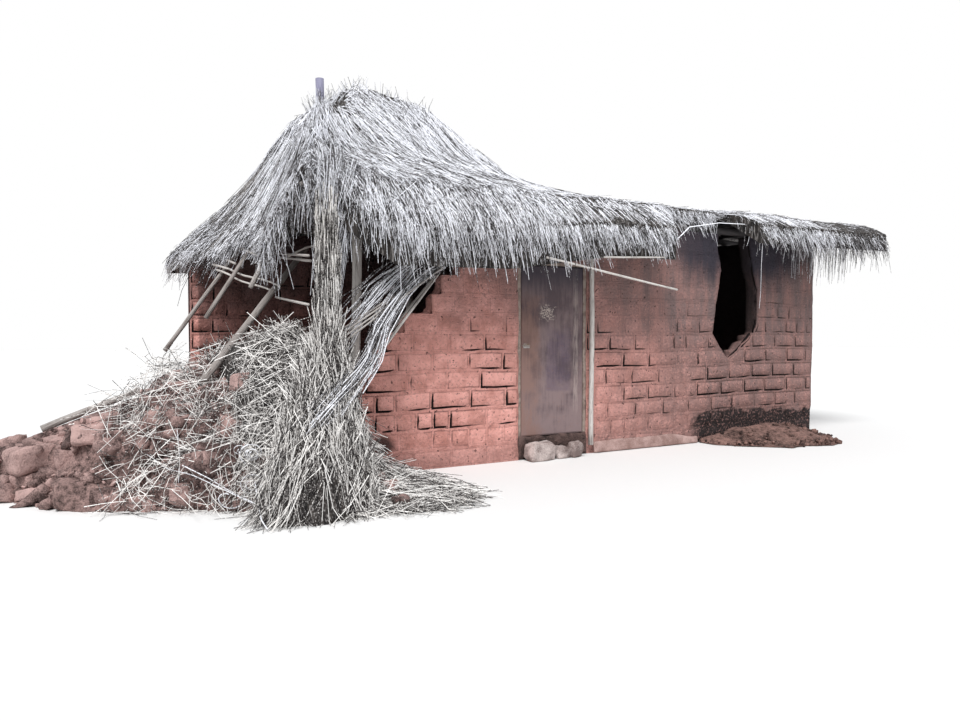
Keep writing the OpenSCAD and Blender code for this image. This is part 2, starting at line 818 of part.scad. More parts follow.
// Rubble heap: height field round a centre, measured in the share t of the way to its foot
heap_x = left_x - 250;
heap_y = -700;
foot = [
    1500, 1500, 1500, 1700, 3000, 3300, 3000, 3100, 3100, 2700, 2250, 1950,
    1750, 1620, 1550, 1550, 1500, 1500, 1750, 2100, 2150, 1900, 1500, 1450
];
function foot_at(a) = let (k = (a % 360) / 15, i = floor(k))
    foot[i % 24] + (foot[(i + 1) % 24] - foot[i % 24]) * (k - i);
crest = [[-2900, 0.6], [-1540, 1], [300, 0.82], [760, 0.86], [1600, 0.6], [2400, 0.3]];
function lump(x, y) = 26 * sin(x * 0.31) * cos(y * 0.27) + 18 * sin(x * 0.83 + y * 0.57);
function heap_z(a, r) = let (
        t = r / foot_at(a),
        x = heap_x + r * cos(a),
        y = heap_y + r * sin(a),
        g = 1 - 0.35 * min(1, abs(x - left_x) / 1600)
    )
    t >= 1 ? 0 : (heap_h * lookup(y, crest) * g + lump(x, y)) * (1 - pow(t, 2.2));
function heap_point(a, r, up) =
    [heap_x + r * cos(a), heap_y + r * sin(a), heap_z(a, r) + up];

module heap_solid() {
    t = [0.2, 0.4, 0.6, 0.8];
    n = 24;
    m = len(t);
    pts = concat(
        [heap_point(0, 1, 0), [heap_x, heap_y, 0]],
        [for (i = [0:n - 1], s = t) heap_point(i * 15, s * foot[i], 0)],
        [for (i = [0:n - 1]) heap_point(i * 15, foot[i], 0)]
    );
    rim = 2 + n * m;
    faces = concat(
        [for (i = [0:n - 1]) let (k = (i + 1) % n) [0, 2 + k * m, 2 + i * m]],
        [for (i = [0:n - 1], j = [0:m - 2]) let (k = (i + 1) % n) each [
            [2 + i * m + j + 1, 2 + i * m + j, 2 + k * m + j],
            [2 + i * m + j + 1, 2 + k * m + j, 2 + k * m + j + 1]
        ]],
        [for (i = [0:n - 1]) let (k = (i + 1) % n) each [
            [rim + i, 2 + i * m + m - 1, 2 + k * m + m - 1],
            [rim + i, 2 + k * m + m - 1, rim + k]
        ]],
        [for (i = [0:n - 1]) let (k = (i + 1) % n) [1, rim + i, rim + k]]
    );
    polyhedron(points = pts, faces = faces, convexity = 6);
}

// Room taken by walls and floor under and beside the heap
module built_room() {
    translate([left_x, inner_back_y, -touch])
        cube([hut_l, 2000, wall_h]);
    translate([inner_left_x - touch, inner_front_y - touch, -touch])
        cube([hut_l / 2, inner_back_y - inner_front_y + 2 * touch, floor_h + touch]);
    left_end_wall_stub();
    front_wall_left();
}

// Lumps of wall that fell in one piece: direction, share of the way out, length, turn and tilt
lump_h = 230;
lump_share = 0.62;
lump_sink = 5;
below_ground = 1000;
fallen_lumps = [
    [95, 0.38, 430, 20, 14], [165, 0.16, 380, 75, -12], [215, 0.3, 460, 130, 10],
    [118, 0.68, 420, 10, 18], [146, 0.8, 460, 55, -14], [98, 0.66, 380, 60, -12],
    [168, 0.6, 380, 150, 16], [187, 0.74, 440, 85, -12], [208, 0.64, 400, 35, 15],
    [230, 0.74, 430, 115, -15], [247, 0.7, 400, 160, 12], [261, 0.84, 380, 50, -12],
    [106, 0.88, 360, 140, 10], [128, 0.9, 380, 80, -10], [172, 0.9, 360, 25, 10],
    [222, 0.92, 350, 170, -10]
];
module fallen_lump(a, t, size, turn, tilt) {
    translate(heap_point(a, t * foot_at(a), -lump_sink))
        rotate([tilt, tilt * 0.6, turn])
            cube([size, size * lump_share, lump_h], center = true);
}

module rubble_heap() {
    color(brick_brown)
        difference() {
            union() {
                heap_solid();
                for (b = fallen_lumps)
                    fallen_lump(b[0], b[1], b[2], b[3], b[4]);
            }
            built_room();
            translate([heap_x, heap_y, -below_ground / 2])
                cube([hut_l, hut_l, below_ground], center = true);
        }
}

// Loose straw: lies on the heap and fans out on the ground in front of it
mound_a = [273, 281, 290, 300, 310, 320, 330, 342];
mound_r = [2080, 2280, 2520, 2800, 2750, 2250, 1900, 1700];
function mound_t(x, y) = 40 + mound_h * exp(
    -(pow(x - (heap_x + 800), 2) + pow(y - (heap_y - 840), 2)) / pow(640, 2));
module straw_mound() {
    u = [0.12, 0.24, 0.36, 0.48, 0.6, 0.74, 0.88, 1];
    under = [for (i = [0:7]) [for (s = u)
        let (r = s * mound_r[i], p = heap_point(mound_a[i], r, 0))
            [p[0], p[1], p[2] > 0 ? p[2] + 25 : 0]]];
    over = [for (i = [0:7]) [for (j = [0:7])
        let (p = under[i][j])
            [p[0], p[1], p[2] + mound_t(p[0], p[1]) * (j == 7 || i == 0 ? 0.4 : 1)]]];
    color(straw_grey)
        difference() {
            slab_between(under, over);
            built_room();
            heap_solid();
        }
}

// Straw that slid off the front left corner and hangs down to the ground
module hanging_straw() {
    x = left_x + 550;
    y = front_y - 400;
    rings = [
        [-430, -1000, 0, 430, 190], [-330, -780, 350, 380, 170], [-210, -540, 760, 255, 130],
        [-100, -300, 1200, 170, 110], [-10, -90, 1800, 145, 100], [0, 0, 2300, 120, 80]
    ];
    color(straw_grey)
        loft([for (s = rings) [for (k = [0:11])
            [x + s[0] + s[3] * cos(k * 30), y + s[1] + s[4] * sin(k * 30), s[2]]]]);
}

// Reeds of a fallen lath mat, leaning along the broken edge of the front wall
module reed_bundle() {
    x = door_x0;
    y = front_y;
    color(pole_grey) {
        for (i = [0:3])
            pole([x - 700, y - 25 - 26 * i, 2120 + 12 * (i % 2)],
                [x - 2300, y - 500 - 44 * i, 1240 - 34 * i], reed_r);
        for (i = [0:3])
            pole([x - 920, y - 25 - 26 * i, 1960 + 12 * (i % 2)],
                [x - 2600, y - 760 - 44 * i, 420 - 34 * i], reed_r);
    }
}

// Poles of the fallen end of the roof
module fallen_poles() {
    color(pole_grey) {
        pole([left_x - 385, -1530, 938], [left_x + 1000, 70, 2260], fallen_r);
        pole([left_x + 630, -1760, 480], [left_x + 800, -1560, 2200], fallen_r * 0.62);
        pole([left_x - 1550, -120, 450], [left_x - 710, -50, 775], fallen_r);
    }
}

// Loose sticks under the front eave
module eave_sticks() {
    y = front_y - eave - 30;
    color(pole_grey) {
        pole([door_x0 - 20, y, 2066], [door_x0 + 1720, y, 1803], 12);
        pole([door_x0 + 670, y - 28, 2100], [door_x0 + 1500, y - 28, 2140], 10);
    }
}

earth_floor();
front_wall_left();
front_wall_over_door();
front_wall_middle();
front_wall_under_window();
front_wall_right();
right_end_wall();
back_wall_left();
back_wall_right();
left_end_wall_stub();
mud_skirting();
door_step();
doorway_stones();
washed_soil();
door_frame();
door_hinge_pins();
door_leaf();
door_hinge_knuckles();
door_bolt();
door_side_pole();
front_plate_pole();
back_plate_pole();
high_ridge_pole();
broken_ridge_pole();
low_ridge_pole();
apex_post();
ridge_posts();
front_rafters();
back_rafters();
hip_rafters();
front_laths();
back_laths();
hip_laths();
front_thatch();
back_thatch();
hip_thatch_front();
hip_thatch_end();
hip_thatch_back();
prop_post();
rubble_heap();
straw_mound();
hanging_straw();
reed_bundle();
fallen_poles();
eave_sticks();
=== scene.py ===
"""Looks of a mud brick hut with a sagging straw roof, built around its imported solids.

Every class holds the sizes of one sub-assembly in metres and makes its meshes from numpy arrays.
"""
import itertools
import logging
import math
from dataclasses import dataclass, field
from enum import Enum
from typing import Any, Iterable, Sequence

import bpy
import numpy as np
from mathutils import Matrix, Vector


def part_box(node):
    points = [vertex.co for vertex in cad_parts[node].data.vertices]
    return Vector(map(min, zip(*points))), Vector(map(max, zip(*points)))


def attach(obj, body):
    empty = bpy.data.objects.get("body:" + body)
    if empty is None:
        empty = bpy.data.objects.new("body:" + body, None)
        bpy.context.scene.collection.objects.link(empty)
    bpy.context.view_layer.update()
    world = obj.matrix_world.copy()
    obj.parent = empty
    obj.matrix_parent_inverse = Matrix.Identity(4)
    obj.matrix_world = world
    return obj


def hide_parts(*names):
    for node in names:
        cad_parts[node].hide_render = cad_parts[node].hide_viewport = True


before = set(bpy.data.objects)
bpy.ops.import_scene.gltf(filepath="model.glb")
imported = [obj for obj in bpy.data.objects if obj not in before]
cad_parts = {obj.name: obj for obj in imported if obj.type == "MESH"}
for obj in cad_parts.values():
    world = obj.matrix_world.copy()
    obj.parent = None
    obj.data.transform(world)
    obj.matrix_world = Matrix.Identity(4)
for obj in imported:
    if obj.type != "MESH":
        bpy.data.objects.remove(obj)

log = logging.getLogger("hut")
Array = np.ndarray
Rgb = tuple[float, float, float]
Point = tuple[float, float, float]
Pole = tuple[Array, Array, float]
Steps = tuple[Sequence[float], Sequence[float], Sequence[float]]

HASH_AXES = (73856093, 19349663, 83492791)
HASH_SEED, HASH_START, HASH_SPREAD = 99991, 7, 1274126177
# Upward part of a tube's direction from which its rings are turned about another axis.
STEEP = 0.9


def lattice_noise(points: Array, cell: float, seed: int) -> Array:
    """Smooth noise: random numbers on a cubic lattice, blended inside a cell by 3t^2 - 2t^3.

    Args:
        points: places, one row each.
        cell: edge of a lattice cell.
        seed: picks the random numbers.

    Returns:
        One value from -1 to 1 for each place.
    """
    scaled = points / cell
    base = np.floor(scaled).astype(np.int64)
    t = scaled - base
    t = t * t * (3.0 - 2.0 * t)
    total = np.zeros(len(points))
    for corner in itertools.product((0, 1), repeat=3):
        at = (base + np.array(corner)) * np.array(HASH_AXES)
        code = at[:, 0] ^ at[:, 1] ^ at[:, 2] ^ (seed * HASH_SEED + HASH_START)
        code = ((code ^ (code >> 13)) * HASH_SPREAD) & 0x7FFFFFFF
        code = code ^ (code >> 15)
        value = (code & 0xFFFF) / 32767.5 - 1.0
        total += value * np.prod(np.where(np.array(corner) == 1, t, 1.0 - t), axis=1)
    return total


def smooth_step(low: float, high: float, value: Array) -> Array:
    """Blend from 0 below low to 1 above high by 3t^2 - 2t^3."""
    t = np.clip((value - low) / (high - low), 0.0, 1.0)
    return t * t * (3.0 - 2.0 * t)


def unit(vectors: Array) -> Array:
    """Rows of vectors scaled to length 1."""
    length = np.linalg.norm(vectors, axis=-1, keepdims=True)
    return vectors / np.maximum(length, 1e-9)


@dataclass
class Shell:
    """Vertices, quads, triangles and two values per vertex of one or more closed shapes."""

    verts: Array
    quads: Array = field(default_factory=lambda: np.zeros((0, 4), dtype=np.int64))
    tris: Array = field(default_factory=lambda: np.zeros((0, 3), dtype=np.int64))
    tone: Array | None = None
    grain: Array | None = None

    def filled(self) -> "Shell":
        """The same shell with its missing values set to zero."""
        count = len(self.verts)
        tone = np.zeros(count) if self.tone is None else self.tone
        grain = np.zeros((count, 2)) if self.grain is None else self.grain
        return Shell(self.verts, self.quads, self.tris, tone, grain)


def joined(shells: Iterable[Shell]) -> Shell:
    """One shell from several, with the face numbers moved up by the vertices before them."""
    parts = [s.filled() for s in shells]
    starts = np.cumsum([0] + [len(s.verts) for s in parts[:-1]])
    return Shell(
        np.concatenate([s.verts for s in parts]),
        np.concatenate([s.quads + n for s, n in zip(parts, starts)]),
        np.concatenate([s.tris + n for s, n in zip(parts, starts)]),
        np.concatenate([s.tone for s in parts]),
        np.concatenate([s.grain for s in parts]),
    )


def object_from(name: str, shell: Shell, material: bpy.types.Material, smooth: bool) -> bpy.types.Object:
    """A Blender object at the origin, made from a shell.

    Args:
        name: name of the piece.
        shell: its vertices, faces and values.
        material: its finish.
        smooth: whether its faces are shaded smooth.

    Returns:
        The object, linked to the scene.
    """
    shell = shell.filled()
    mesh = bpy.data.meshes.new(name)
    mesh.vertices.add(len(shell.verts))
    mesh.vertices.foreach_set("co", shell.verts.astype(np.float32).ravel())
    corners = np.concatenate([shell.quads.ravel(), shell.tris.ravel()]).astype(np.int32)
    mesh.loops.add(len(corners))
    mesh.loops.foreach_set("vertex_index", corners)
    quad_starts = np.arange(len(shell.quads)) * 4
    tri_starts = len(shell.quads) * 4 + np.arange(len(shell.tris)) * 3
    mesh.polygons.add(len(shell.quads) + len(shell.tris))
    mesh.polygons.foreach_set("loop_start", np.concatenate([quad_starts, tri_starts]).astype(np.int32))
    tone = mesh.attributes.new("tone", "FLOAT", "POINT")
    tone.data.foreach_set("value", shell.tone.astype(np.float32))
    uv = mesh.uv_layers.new(name="grain")
    uv.data.foreach_set("uv", shell.grain[corners].astype(np.float32).ravel())
    mesh.polygons.foreach_set("use_smooth", np.full(len(mesh.polygons), smooth))
    mesh.update(calc_edges=True)
    mesh.validate()
    mesh.materials.append(material)
    obj = bpy.data.objects.new(name, mesh)
    bpy.context.scene.collection.objects.link(obj)
    return obj


def tubes(paths: Array, radii: Array, sides: int, tone: Array) -> Shell:
    """Closed tubes along many paths at once.

    A ring of points stands square to the path at each of its points: the point at angle a is the
    path's point plus radius times (cos a times the side vector plus sin a times the upper vector).

    Args:
        paths: shape (tubes, points, 3).
        radii: shape (tubes, points).
        sides: points round a ring.
        tone: one value per tube.

    Returns:
        The shell of all the tubes.
    """
    count, rings, _ = paths.shape
    ahead = unit(np.gradient(paths, axis=1))
    steep = np.abs(ahead[..., 2:3]) > STEEP
    up = np.where(steep, np.array([1.0, 0.0, 0.0]), np.array([0.0, 0.0, 1.0]))
    side = unit(np.cross(ahead, up))
    upper = np.cross(side, ahead)
    angle = 2.0 * np.pi * np.arange(sides) / sides + 0.5 * np.pi
    ring = (
        side[:, :, None, :] * np.cos(angle)[None, None, :, None]
        + upper[:, :, None, :] * np.sin(angle)[None, None, :, None]
    )
    verts = paths[:, :, None, :] + ring * radii[:, :, None, None]
    block = rings * sides
    ring_no, side_no = np.meshgrid(np.arange(rings - 1), np.arange(sides), indexing="ij")
    following = (side_no + 1) % sides
    quad = np.stack(
        [ring_no * sides + side_no, ring_no * sides + following,
         (ring_no + 1) * sides + following, (ring_no + 1) * sides + side_no],
        axis=-1,
    ).reshape(-1, 4)[:, ::-1]
    fan = np.stack([np.zeros(sides - 2), np.arange(1, sides - 1), np.arange(2, sides)], axis=-1)
    fan = fan.astype(np.int64)
    caps = np.concatenate([fan, fan[:, ::-1] + (rings - 1) * sides])
    start = (np.arange(count) * block)[:, None, None]
    length = np.cumsum(np.linalg.norm(np.diff(paths, axis=1, prepend=paths[:, :1]), axis=-1), axis=1)
    grain = np.stack(
        [np.broadcast_to(length[:, :, None], (count, rings, sides)),
         np.broadcast_to(angle[None, None, :] / (2 * np.pi), (count, rings, sides))],
        axis=-1,
    )
    return Shell(
        verts.reshape(-1, 3),
        (quad[None] + start).reshape(-1, 4),
        (caps[None] + start).reshape(-1, 3),
        np.repeat(tone, block),
        grain.reshape(-1, 2),
    )


def grid_quads(rows: int, cols: int) -> Array:
    """Quads between the neighbouring points of a grid whose points are numbered row by row."""
    i, j = np.meshgrid(np.arange(rows - 1), np.arange(cols - 1), indexing="ij")
    first = (i * cols + j).reshape(-1)
    return np.stack([first, first + cols, first + cols + 1, first + 1], axis=-1)


def grid_corners(rows: int, cols: int) -> Array:
    """Numbers of a grid's corner points, in order round it."""
    return np.array([0, cols - 1, rows * cols - 1, (rows - 1) * cols])


def border_loop(rows: int, cols: int) -> Array:
    """Numbers of the points round a grid, in order."""
    return np.concatenate([
        np.arange(rows) * cols, (rows - 1) * cols + np.arange(1, cols),
        np.arange(rows - 2, -1, -1) * cols + cols - 1, np.arange(cols - 2, 0, -1)])


def block_grid(steps: Steps) -> tuple[Array, Array]:
    """The surface of a cube from -1 to 1, cut at the given steps along each axis.

    Returns:
        Its points and its quads, with each point held once and each quad facing outwards.
    """
    points: list[Array] = []
    quads: list[Array] = []
    total = 0
    for axis, end in itertools.product(range(3), (-1.0, 1.0)):
        u_axis, v_axis = (axis + 1) % 3, (axis + 2) % 3
        u, v = np.meshgrid(np.array(steps[u_axis]), np.array(steps[v_axis]), indexing="ij")
        face = np.zeros(u.shape + (3,))
        face[..., axis], face[..., u_axis], face[..., v_axis] = end, u, v
        quad = grid_quads(*u.shape) + total
        quads.append(quad if end > 0 else quad[:, ::-1])
        points.append(face.reshape(-1, 3))
        total += u.size
    every = np.concatenate(points)
    kept, number = np.unique(np.round(every, 6), axis=0, return_inverse=True)
    return kept, number.reshape(-1)[np.concatenate(quads)]


BRICK_STEPS = ((-1.0, -0.86, 0.0, 0.86, 1.0), (-1.0, 0.0, 1.0), (-1.0, -0.6, 0.6, 1.0))
CLOD_STEPS = ((-1.0, 0.0, 1.0),) * 3
CRUMB_STEPS = ((-1.0, 1.0),) * 3
LARGE_STEPS = tuple(tuple(np.linspace(-1.0, 1.0, cuts)) for cuts in (8, 7, 6))
# Heights, and how far along X the middle of the hanging straw lies at each of them.
HANGING_LINE = ((0.0, 0.35, 0.76, 1.2, 1.8, 2.3), (-3.63, -3.53, -3.41, -3.30, -3.22, -3.22))


def blocks(centres: Array, halves: Array, turns: Array, rounding: Array, rough: float, seed: int,
           steps: Steps = BRICK_STEPS) -> Shell:
    """Rounded, uneven blocks: bricks, clods and stones.

    A point of the unit cube is scaled to the block's half sizes, drawn in to the core that is smaller
    by the rounding, and set back out from the core by the rounding along the way it had left it.

    Args:
        centres: shape (blocks, 3).
        halves: half sizes, shape (blocks, 3).
        turns: rotation matrices, shape (blocks, 3, 3).
        rounding: radius of the edges, one per block.
        rough: height of the unevenness.
        seed: picks the unevenness.
        steps: where the cube's faces are cut.

    Returns:
        The shell of all the blocks.
    """
    cube, quads = block_grid(steps)
    point = cube[None] * halves[:, None, :]
    inner = np.maximum(halves - rounding[:, None], halves * 0.2)[:, None, :]
    core = np.clip(point, -inner, inner)
    verts = core + unit(point - core) * np.minimum(rounding[:, None], halves.min(axis=1)[:, None])[..., None]
    verts = np.einsum("bij,bpj->bpi", turns, verts) + centres[:, None, :]
    flat = verts.reshape(-1, 3)
    lean = unit(verts - centres[:, None, :]).reshape(-1, 3)
    bump = lattice_noise(flat, 0.11, seed) + 0.5 * lattice_noise(flat, 0.037, seed + 1)
    flat = flat + lean * (rough * bump)[:, None]
    start = (np.arange(len(centres)) * len(cube))[:, None, None]
    rng = np.random.default_rng(seed)
    tone = np.repeat(rng.random(len(centres)), len(cube))
    return Shell(flat, (quads[None] + start).reshape(-1, 4), tone=tone)


def turned(angles: Array) -> Array:
    """Rotation matrices from angles about X, Y and Z, taken in that order, shape (n, 3) to (n, 3, 3)."""
    result = np.broadcast_to(np.eye(3), (len(angles), 3, 3))
    for axis in range(3):
        c, s = np.cos(angles[:, axis]), np.sin(angles[:, axis])
        step = np.zeros((len(angles), 3, 3))
        u, v = (axis + 1) % 3, (axis + 2) % 3
        step[:, axis, axis] = 1.0
        step[:, u, u], step[:, u, v], step[:, v, u], step[:, v, v] = c, -s, s, c
        result = np.einsum("nij,njk->nik", step, result)
    return result


def cad_arrays(node: str) -> tuple[Array, Array]:
    """Vertices, each held once, and triangles of a CAD node at rest."""
    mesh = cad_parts[node].data
    mesh.calc_loop_triangles()
    verts = np.empty(len(mesh.vertices) * 3, dtype=np.float32)
    mesh.vertices.foreach_get("co", verts)
    tris = np.empty(len(mesh.loop_triangles) * 3, dtype=np.int32)
    mesh.loop_triangles.foreach_get("vertices", tris)
    kept, number = np.unique(np.round(verts.reshape(-1, 3).astype(float), 5), axis=0, return_inverse=True)
    faces = number.reshape(-1)[tris.reshape(-1, 3)]
    whole = (faces[:, 0] != faces[:, 1]) & (faces[:, 1] != faces[:, 2]) & (faces[:, 0] != faces[:, 2])
    return kept, faces[whole]


def scattered(node: str, count: int, rng: np.random.Generator, lowest_up: float) -> tuple[Array, Array]:
    """Random places on a CAD node's surface, spread evenly over its area.

    Args:
        node: name of the node.
        count: how many places.
        rng: source of the random numbers.
        lowest_up: least upward part of the surface's normal where a place may be.

    Returns:
        The places and the normals there.
    """
    verts, tris = cad_arrays(node)
    a, b, c = verts[tris[:, 0]], verts[tris[:, 1]], verts[tris[:, 2]]
    cross = np.cross(b - a, c - a)
    area = np.linalg.norm(cross, axis=1)
    normal = cross / np.maximum(area, 1e-12)[:, None]
    weight = np.where(normal[:, 2] > lowest_up, area, 0.0)
    pick = rng.choice(len(tris), size=count, p=weight / weight.sum())
    u, v = rng.random(count), rng.random(count)
    over = u + v > 1.0
    u, v = np.where(over, 1.0 - u, u), np.where(over, 1.0 - v, v)
    place = a[pick] + (b - a)[pick] * u[:, None] + (c - a)[pick] * v[:, None]
    return place, normal[pick]


def pole_axes(node: str) -> list[Pole]:
    """End centres and radius of each straight pole in a CAD node.

    The points of a pole are those joined by its triangles. Its axis is the way they spread most.
    """
    verts, tris = cad_arrays(node)
    label = np.arange(len(verts))
    while True:
        low = label[tris].min(axis=1)
        before = label.copy()
        for corner in range(3):
            np.minimum.at(label, tris[:, corner], low)
        if np.array_equal(before, label):
            break
    found = []
    for value in np.unique(label):
        own = verts[label == value]
        middle = 0.5 * (own.min(axis=0) + own.max(axis=0))
        _, _, ways = np.linalg.svd(own - own.mean(axis=0), full_matrices=False)
        along = (own - middle) @ ways[0]
        far = np.linalg.norm((own - middle) - along[:, None] * ways[0], axis=1).max()
        found.append((middle + ways[0] * along.min(), middle + ways[0] * along.max(), float(far)))
    return found


def longest_fallen_pole() -> Pole:
    """The long pole that leans from the broken eave to the heap."""
    return max(pole_axes("fallen_poles"), key=lambda pole: float(np.linalg.norm(pole[1] - pole[0])))


def leftmost_fallen_pole() -> Pole:
    """The log that lies on the heap's left flank."""
    return min(pole_axes("fallen_poles"), key=lambda pole: pole[0][0] + pole[1][0])


def off_pole(paths: Array, pole: Pole, room: float) -> Array:
    """Which paths leave a fallen pole in the open: those that stay clear of its line or below it."""
    start, end, _ = pole
    along = unit(end - start)
    reach = paths - start
    off = reach - np.sum(reach * along, axis=-1, keepdims=True) * along
    return (np.linalg.norm(off, axis=-1) > room).all(axis=1) | (off[..., 2] < -0.4 * room).all(axis=1)


def on_line(line: Sequence[Point], share: Array) -> Array:
    """Places at a share of the way through a line's points, each stretch counted alike."""
    points = np.array(line)
    knots = np.linspace(0.0, 1.0, len(points))
    return np.stack([np.interp(share, knots, points[:, axis]) for axis in range(3)], axis=-1)


def along_surface(ways: Array, normal: Array) -> Array:
    """The part of each way that runs along the surface, at length 1."""
    return unit(ways - np.sum(ways * normal, axis=1, keepdims=True) * normal)


class Value:
    """One output of a node. Arithmetic on it adds Math nodes."""

    def __init__(self, bench: "Bench", socket: bpy.types.NodeSocket) -> None:
        """Keeps the bench that adds nodes and the socket."""
        self.bench = bench
        self.socket = socket

    def _math(self, operation: str, left: Any, right: Any) -> "Value":
        """A Math node on two values or numbers."""
        return self.bench.add("ShaderNodeMath", {"operation": operation}, {0: left, 1: right})[0]

    def __add__(self, other: Any) -> "Value":
        """Sum."""
        return self._math("ADD", self, other)

    def __radd__(self, other: Any) -> "Value":
        """Sum, reflected."""
        return self._math("ADD", other, self)

    def __sub__(self, other: Any) -> "Value":
        """Difference."""
        return self._math("SUBTRACT", self, other)

    def __rsub__(self, other: Any) -> "Value":
        """Difference, reflected."""
        return self._math("SUBTRACT", other, self)

    def __mul__(self, other: Any) -> "Value":
        """Product."""
        return self._math("MULTIPLY", self, other)

    def clamped(self) -> "Value":
        """The value kept from 0 to 1."""
        return self.bench.add("ShaderNodeClamp", {}, {"Value": self})[0]

    def step(self, low: float, high: float) -> "Value":
        """Smooth blend from 0 below low to 1 above high."""
        settings = {"interpolation_type": "SMOOTHSTEP"}
        return self.bench.add("ShaderNodeMapRange", settings, {"Value": self, 1: low, 2: high})[0]

    def within(self, limits: tuple[float, float], soft: float, shift: Any = 0.0) -> "Value":
        """1 between two limits that are moved out by the shift, blending to 0 over a soft edge."""
        low, high = limits
        return (self - low + shift).step(0.0, soft) * (high - self + shift).step(0.0, soft)


# Numbers of a Mix node's sockets for colours.
MIX_INPUTS = (0, 6, 7)
MIX_RESULT = 2
SPECULAR = 0.25


class Bench:
    """Node tree of one material."""

    def __init__(self, name: str) -> None:
        """Makes an empty material with an output and a shader."""
        self.material = bpy.data.materials.new(name)
        self.material.use_nodes = True
        self.tree = self.material.node_tree
        self.tree.nodes.clear()
        self.output = self.tree.nodes.new("ShaderNodeOutputMaterial")
        self.place = self.add("ShaderNodeTexCoord")["Object"]

    def add(self, kind: str, settings: dict[str, Any] | None = None,
            inputs: dict[int | str, Any] | None = None) -> dict[int | str, Value]:
        """Adds a node.

        Args:
            kind: the node's type.
            settings: its settings, such as an operation.
            inputs: values or links of its sockets, by name or number.

        Returns:
            Its outputs, by name and by number among the enabled ones.
        """
        node = self.tree.nodes.new(kind)
        for key, value in (settings or {}).items():
            setattr(node, key, value)
        for key, value in (inputs or {}).items():
            self.feed(node.inputs[key], value)
        enabled = [s for s in node.outputs if s.enabled]
        outputs: dict[int | str, Value] = {s.name: Value(self, s) for s in enabled}
        outputs.update({n: Value(self, s) for n, s in enumerate(enabled)})
        return outputs

    def feed(self, socket: bpy.types.NodeSocket, value: Any) -> None:
        """Links a value to a socket, or sets a number or a colour on it."""
        if isinstance(value, Value):
            self.tree.links.new(value.socket, socket)
        elif socket.type == "RGBA":
            socket.default_value = (*value, 1.0)
        else:
            socket.default_value = value

    def noise(self, scale: float, detail: float = 3.0, where: Value | None = None) -> Value:
        """Noise texture on the piece's own coordinates."""
        inputs = {"Vector": where or self.place, "Scale": scale, "Detail": detail, "Roughness": 0.6}
        return self.add("ShaderNodeTexNoise", {}, inputs)[0]

    def mapped(self, scale: Point, where: Value | None = None) -> Value:
        """The piece's coordinates, scaled along each axis."""
        return self.add("ShaderNodeMapping", {}, {"Vector": where or self.place, "Scale": scale})[0]

    def tone(self) -> Value:
        """The value held by the mesh in its tone attribute."""
        return self.add("ShaderNodeAttribute", {"attribute_name": "tone"})["Fac"]

    def grain(self) -> Value:
        """The piece's own map along and round a pole or stalk."""
        return self.add("ShaderNodeUVMap", {"uv_map": "grain"})[0]

    def mix(self, share: Any, first: Any, second: Any) -> Value:
        """Mix of two colours, the share kept from 0 to 1."""
        node = self.tree.nodes.new("ShaderNodeMix")
        node.data_type = "RGBA"
        for number, value in zip(MIX_INPUTS, (share, first, second)):
            self.feed(node.inputs[number], value)
        return Value(self, node.outputs[MIX_RESULT])

    def axes(self) -> tuple[Value, Value, Value]:
        """The three coordinates of the place."""
        parts = self.add("ShaderNodeSeparateXYZ", {}, {0: self.place})
        return parts[0], parts[1], parts[2]

    def finish(self, colour: Any, rough: Any, bump: Value | None = None, depth: float = 0.01,
               metal: Any = 0.0) -> bpy.types.Material:
        """Sets the shader and returns the material.

        Args:
            colour: base colour.
            rough: roughness.
            bump: height of the fine relief.
            depth: distance that one unit of it stands for.
            metal: share of bare metal.

        Returns:
            The finished material.
        """
        inputs: dict[int | str, Any] = {"Base Color": colour, "Roughness": rough, "Metallic": metal}
        if bump is not None:
            relief = self.add("ShaderNodeBump", {}, {"Height": bump, "Distance": depth, "Strength": 1.0})
            inputs["Normal"] = relief[0]
        inputs["Specular IOR Level"] = SPECULAR
        shader = self.add("ShaderNodeBsdfPrincipled", {}, inputs)[0]
        self.tree.links.new(shader.socket, self.output.inputs[0])
        return self.material


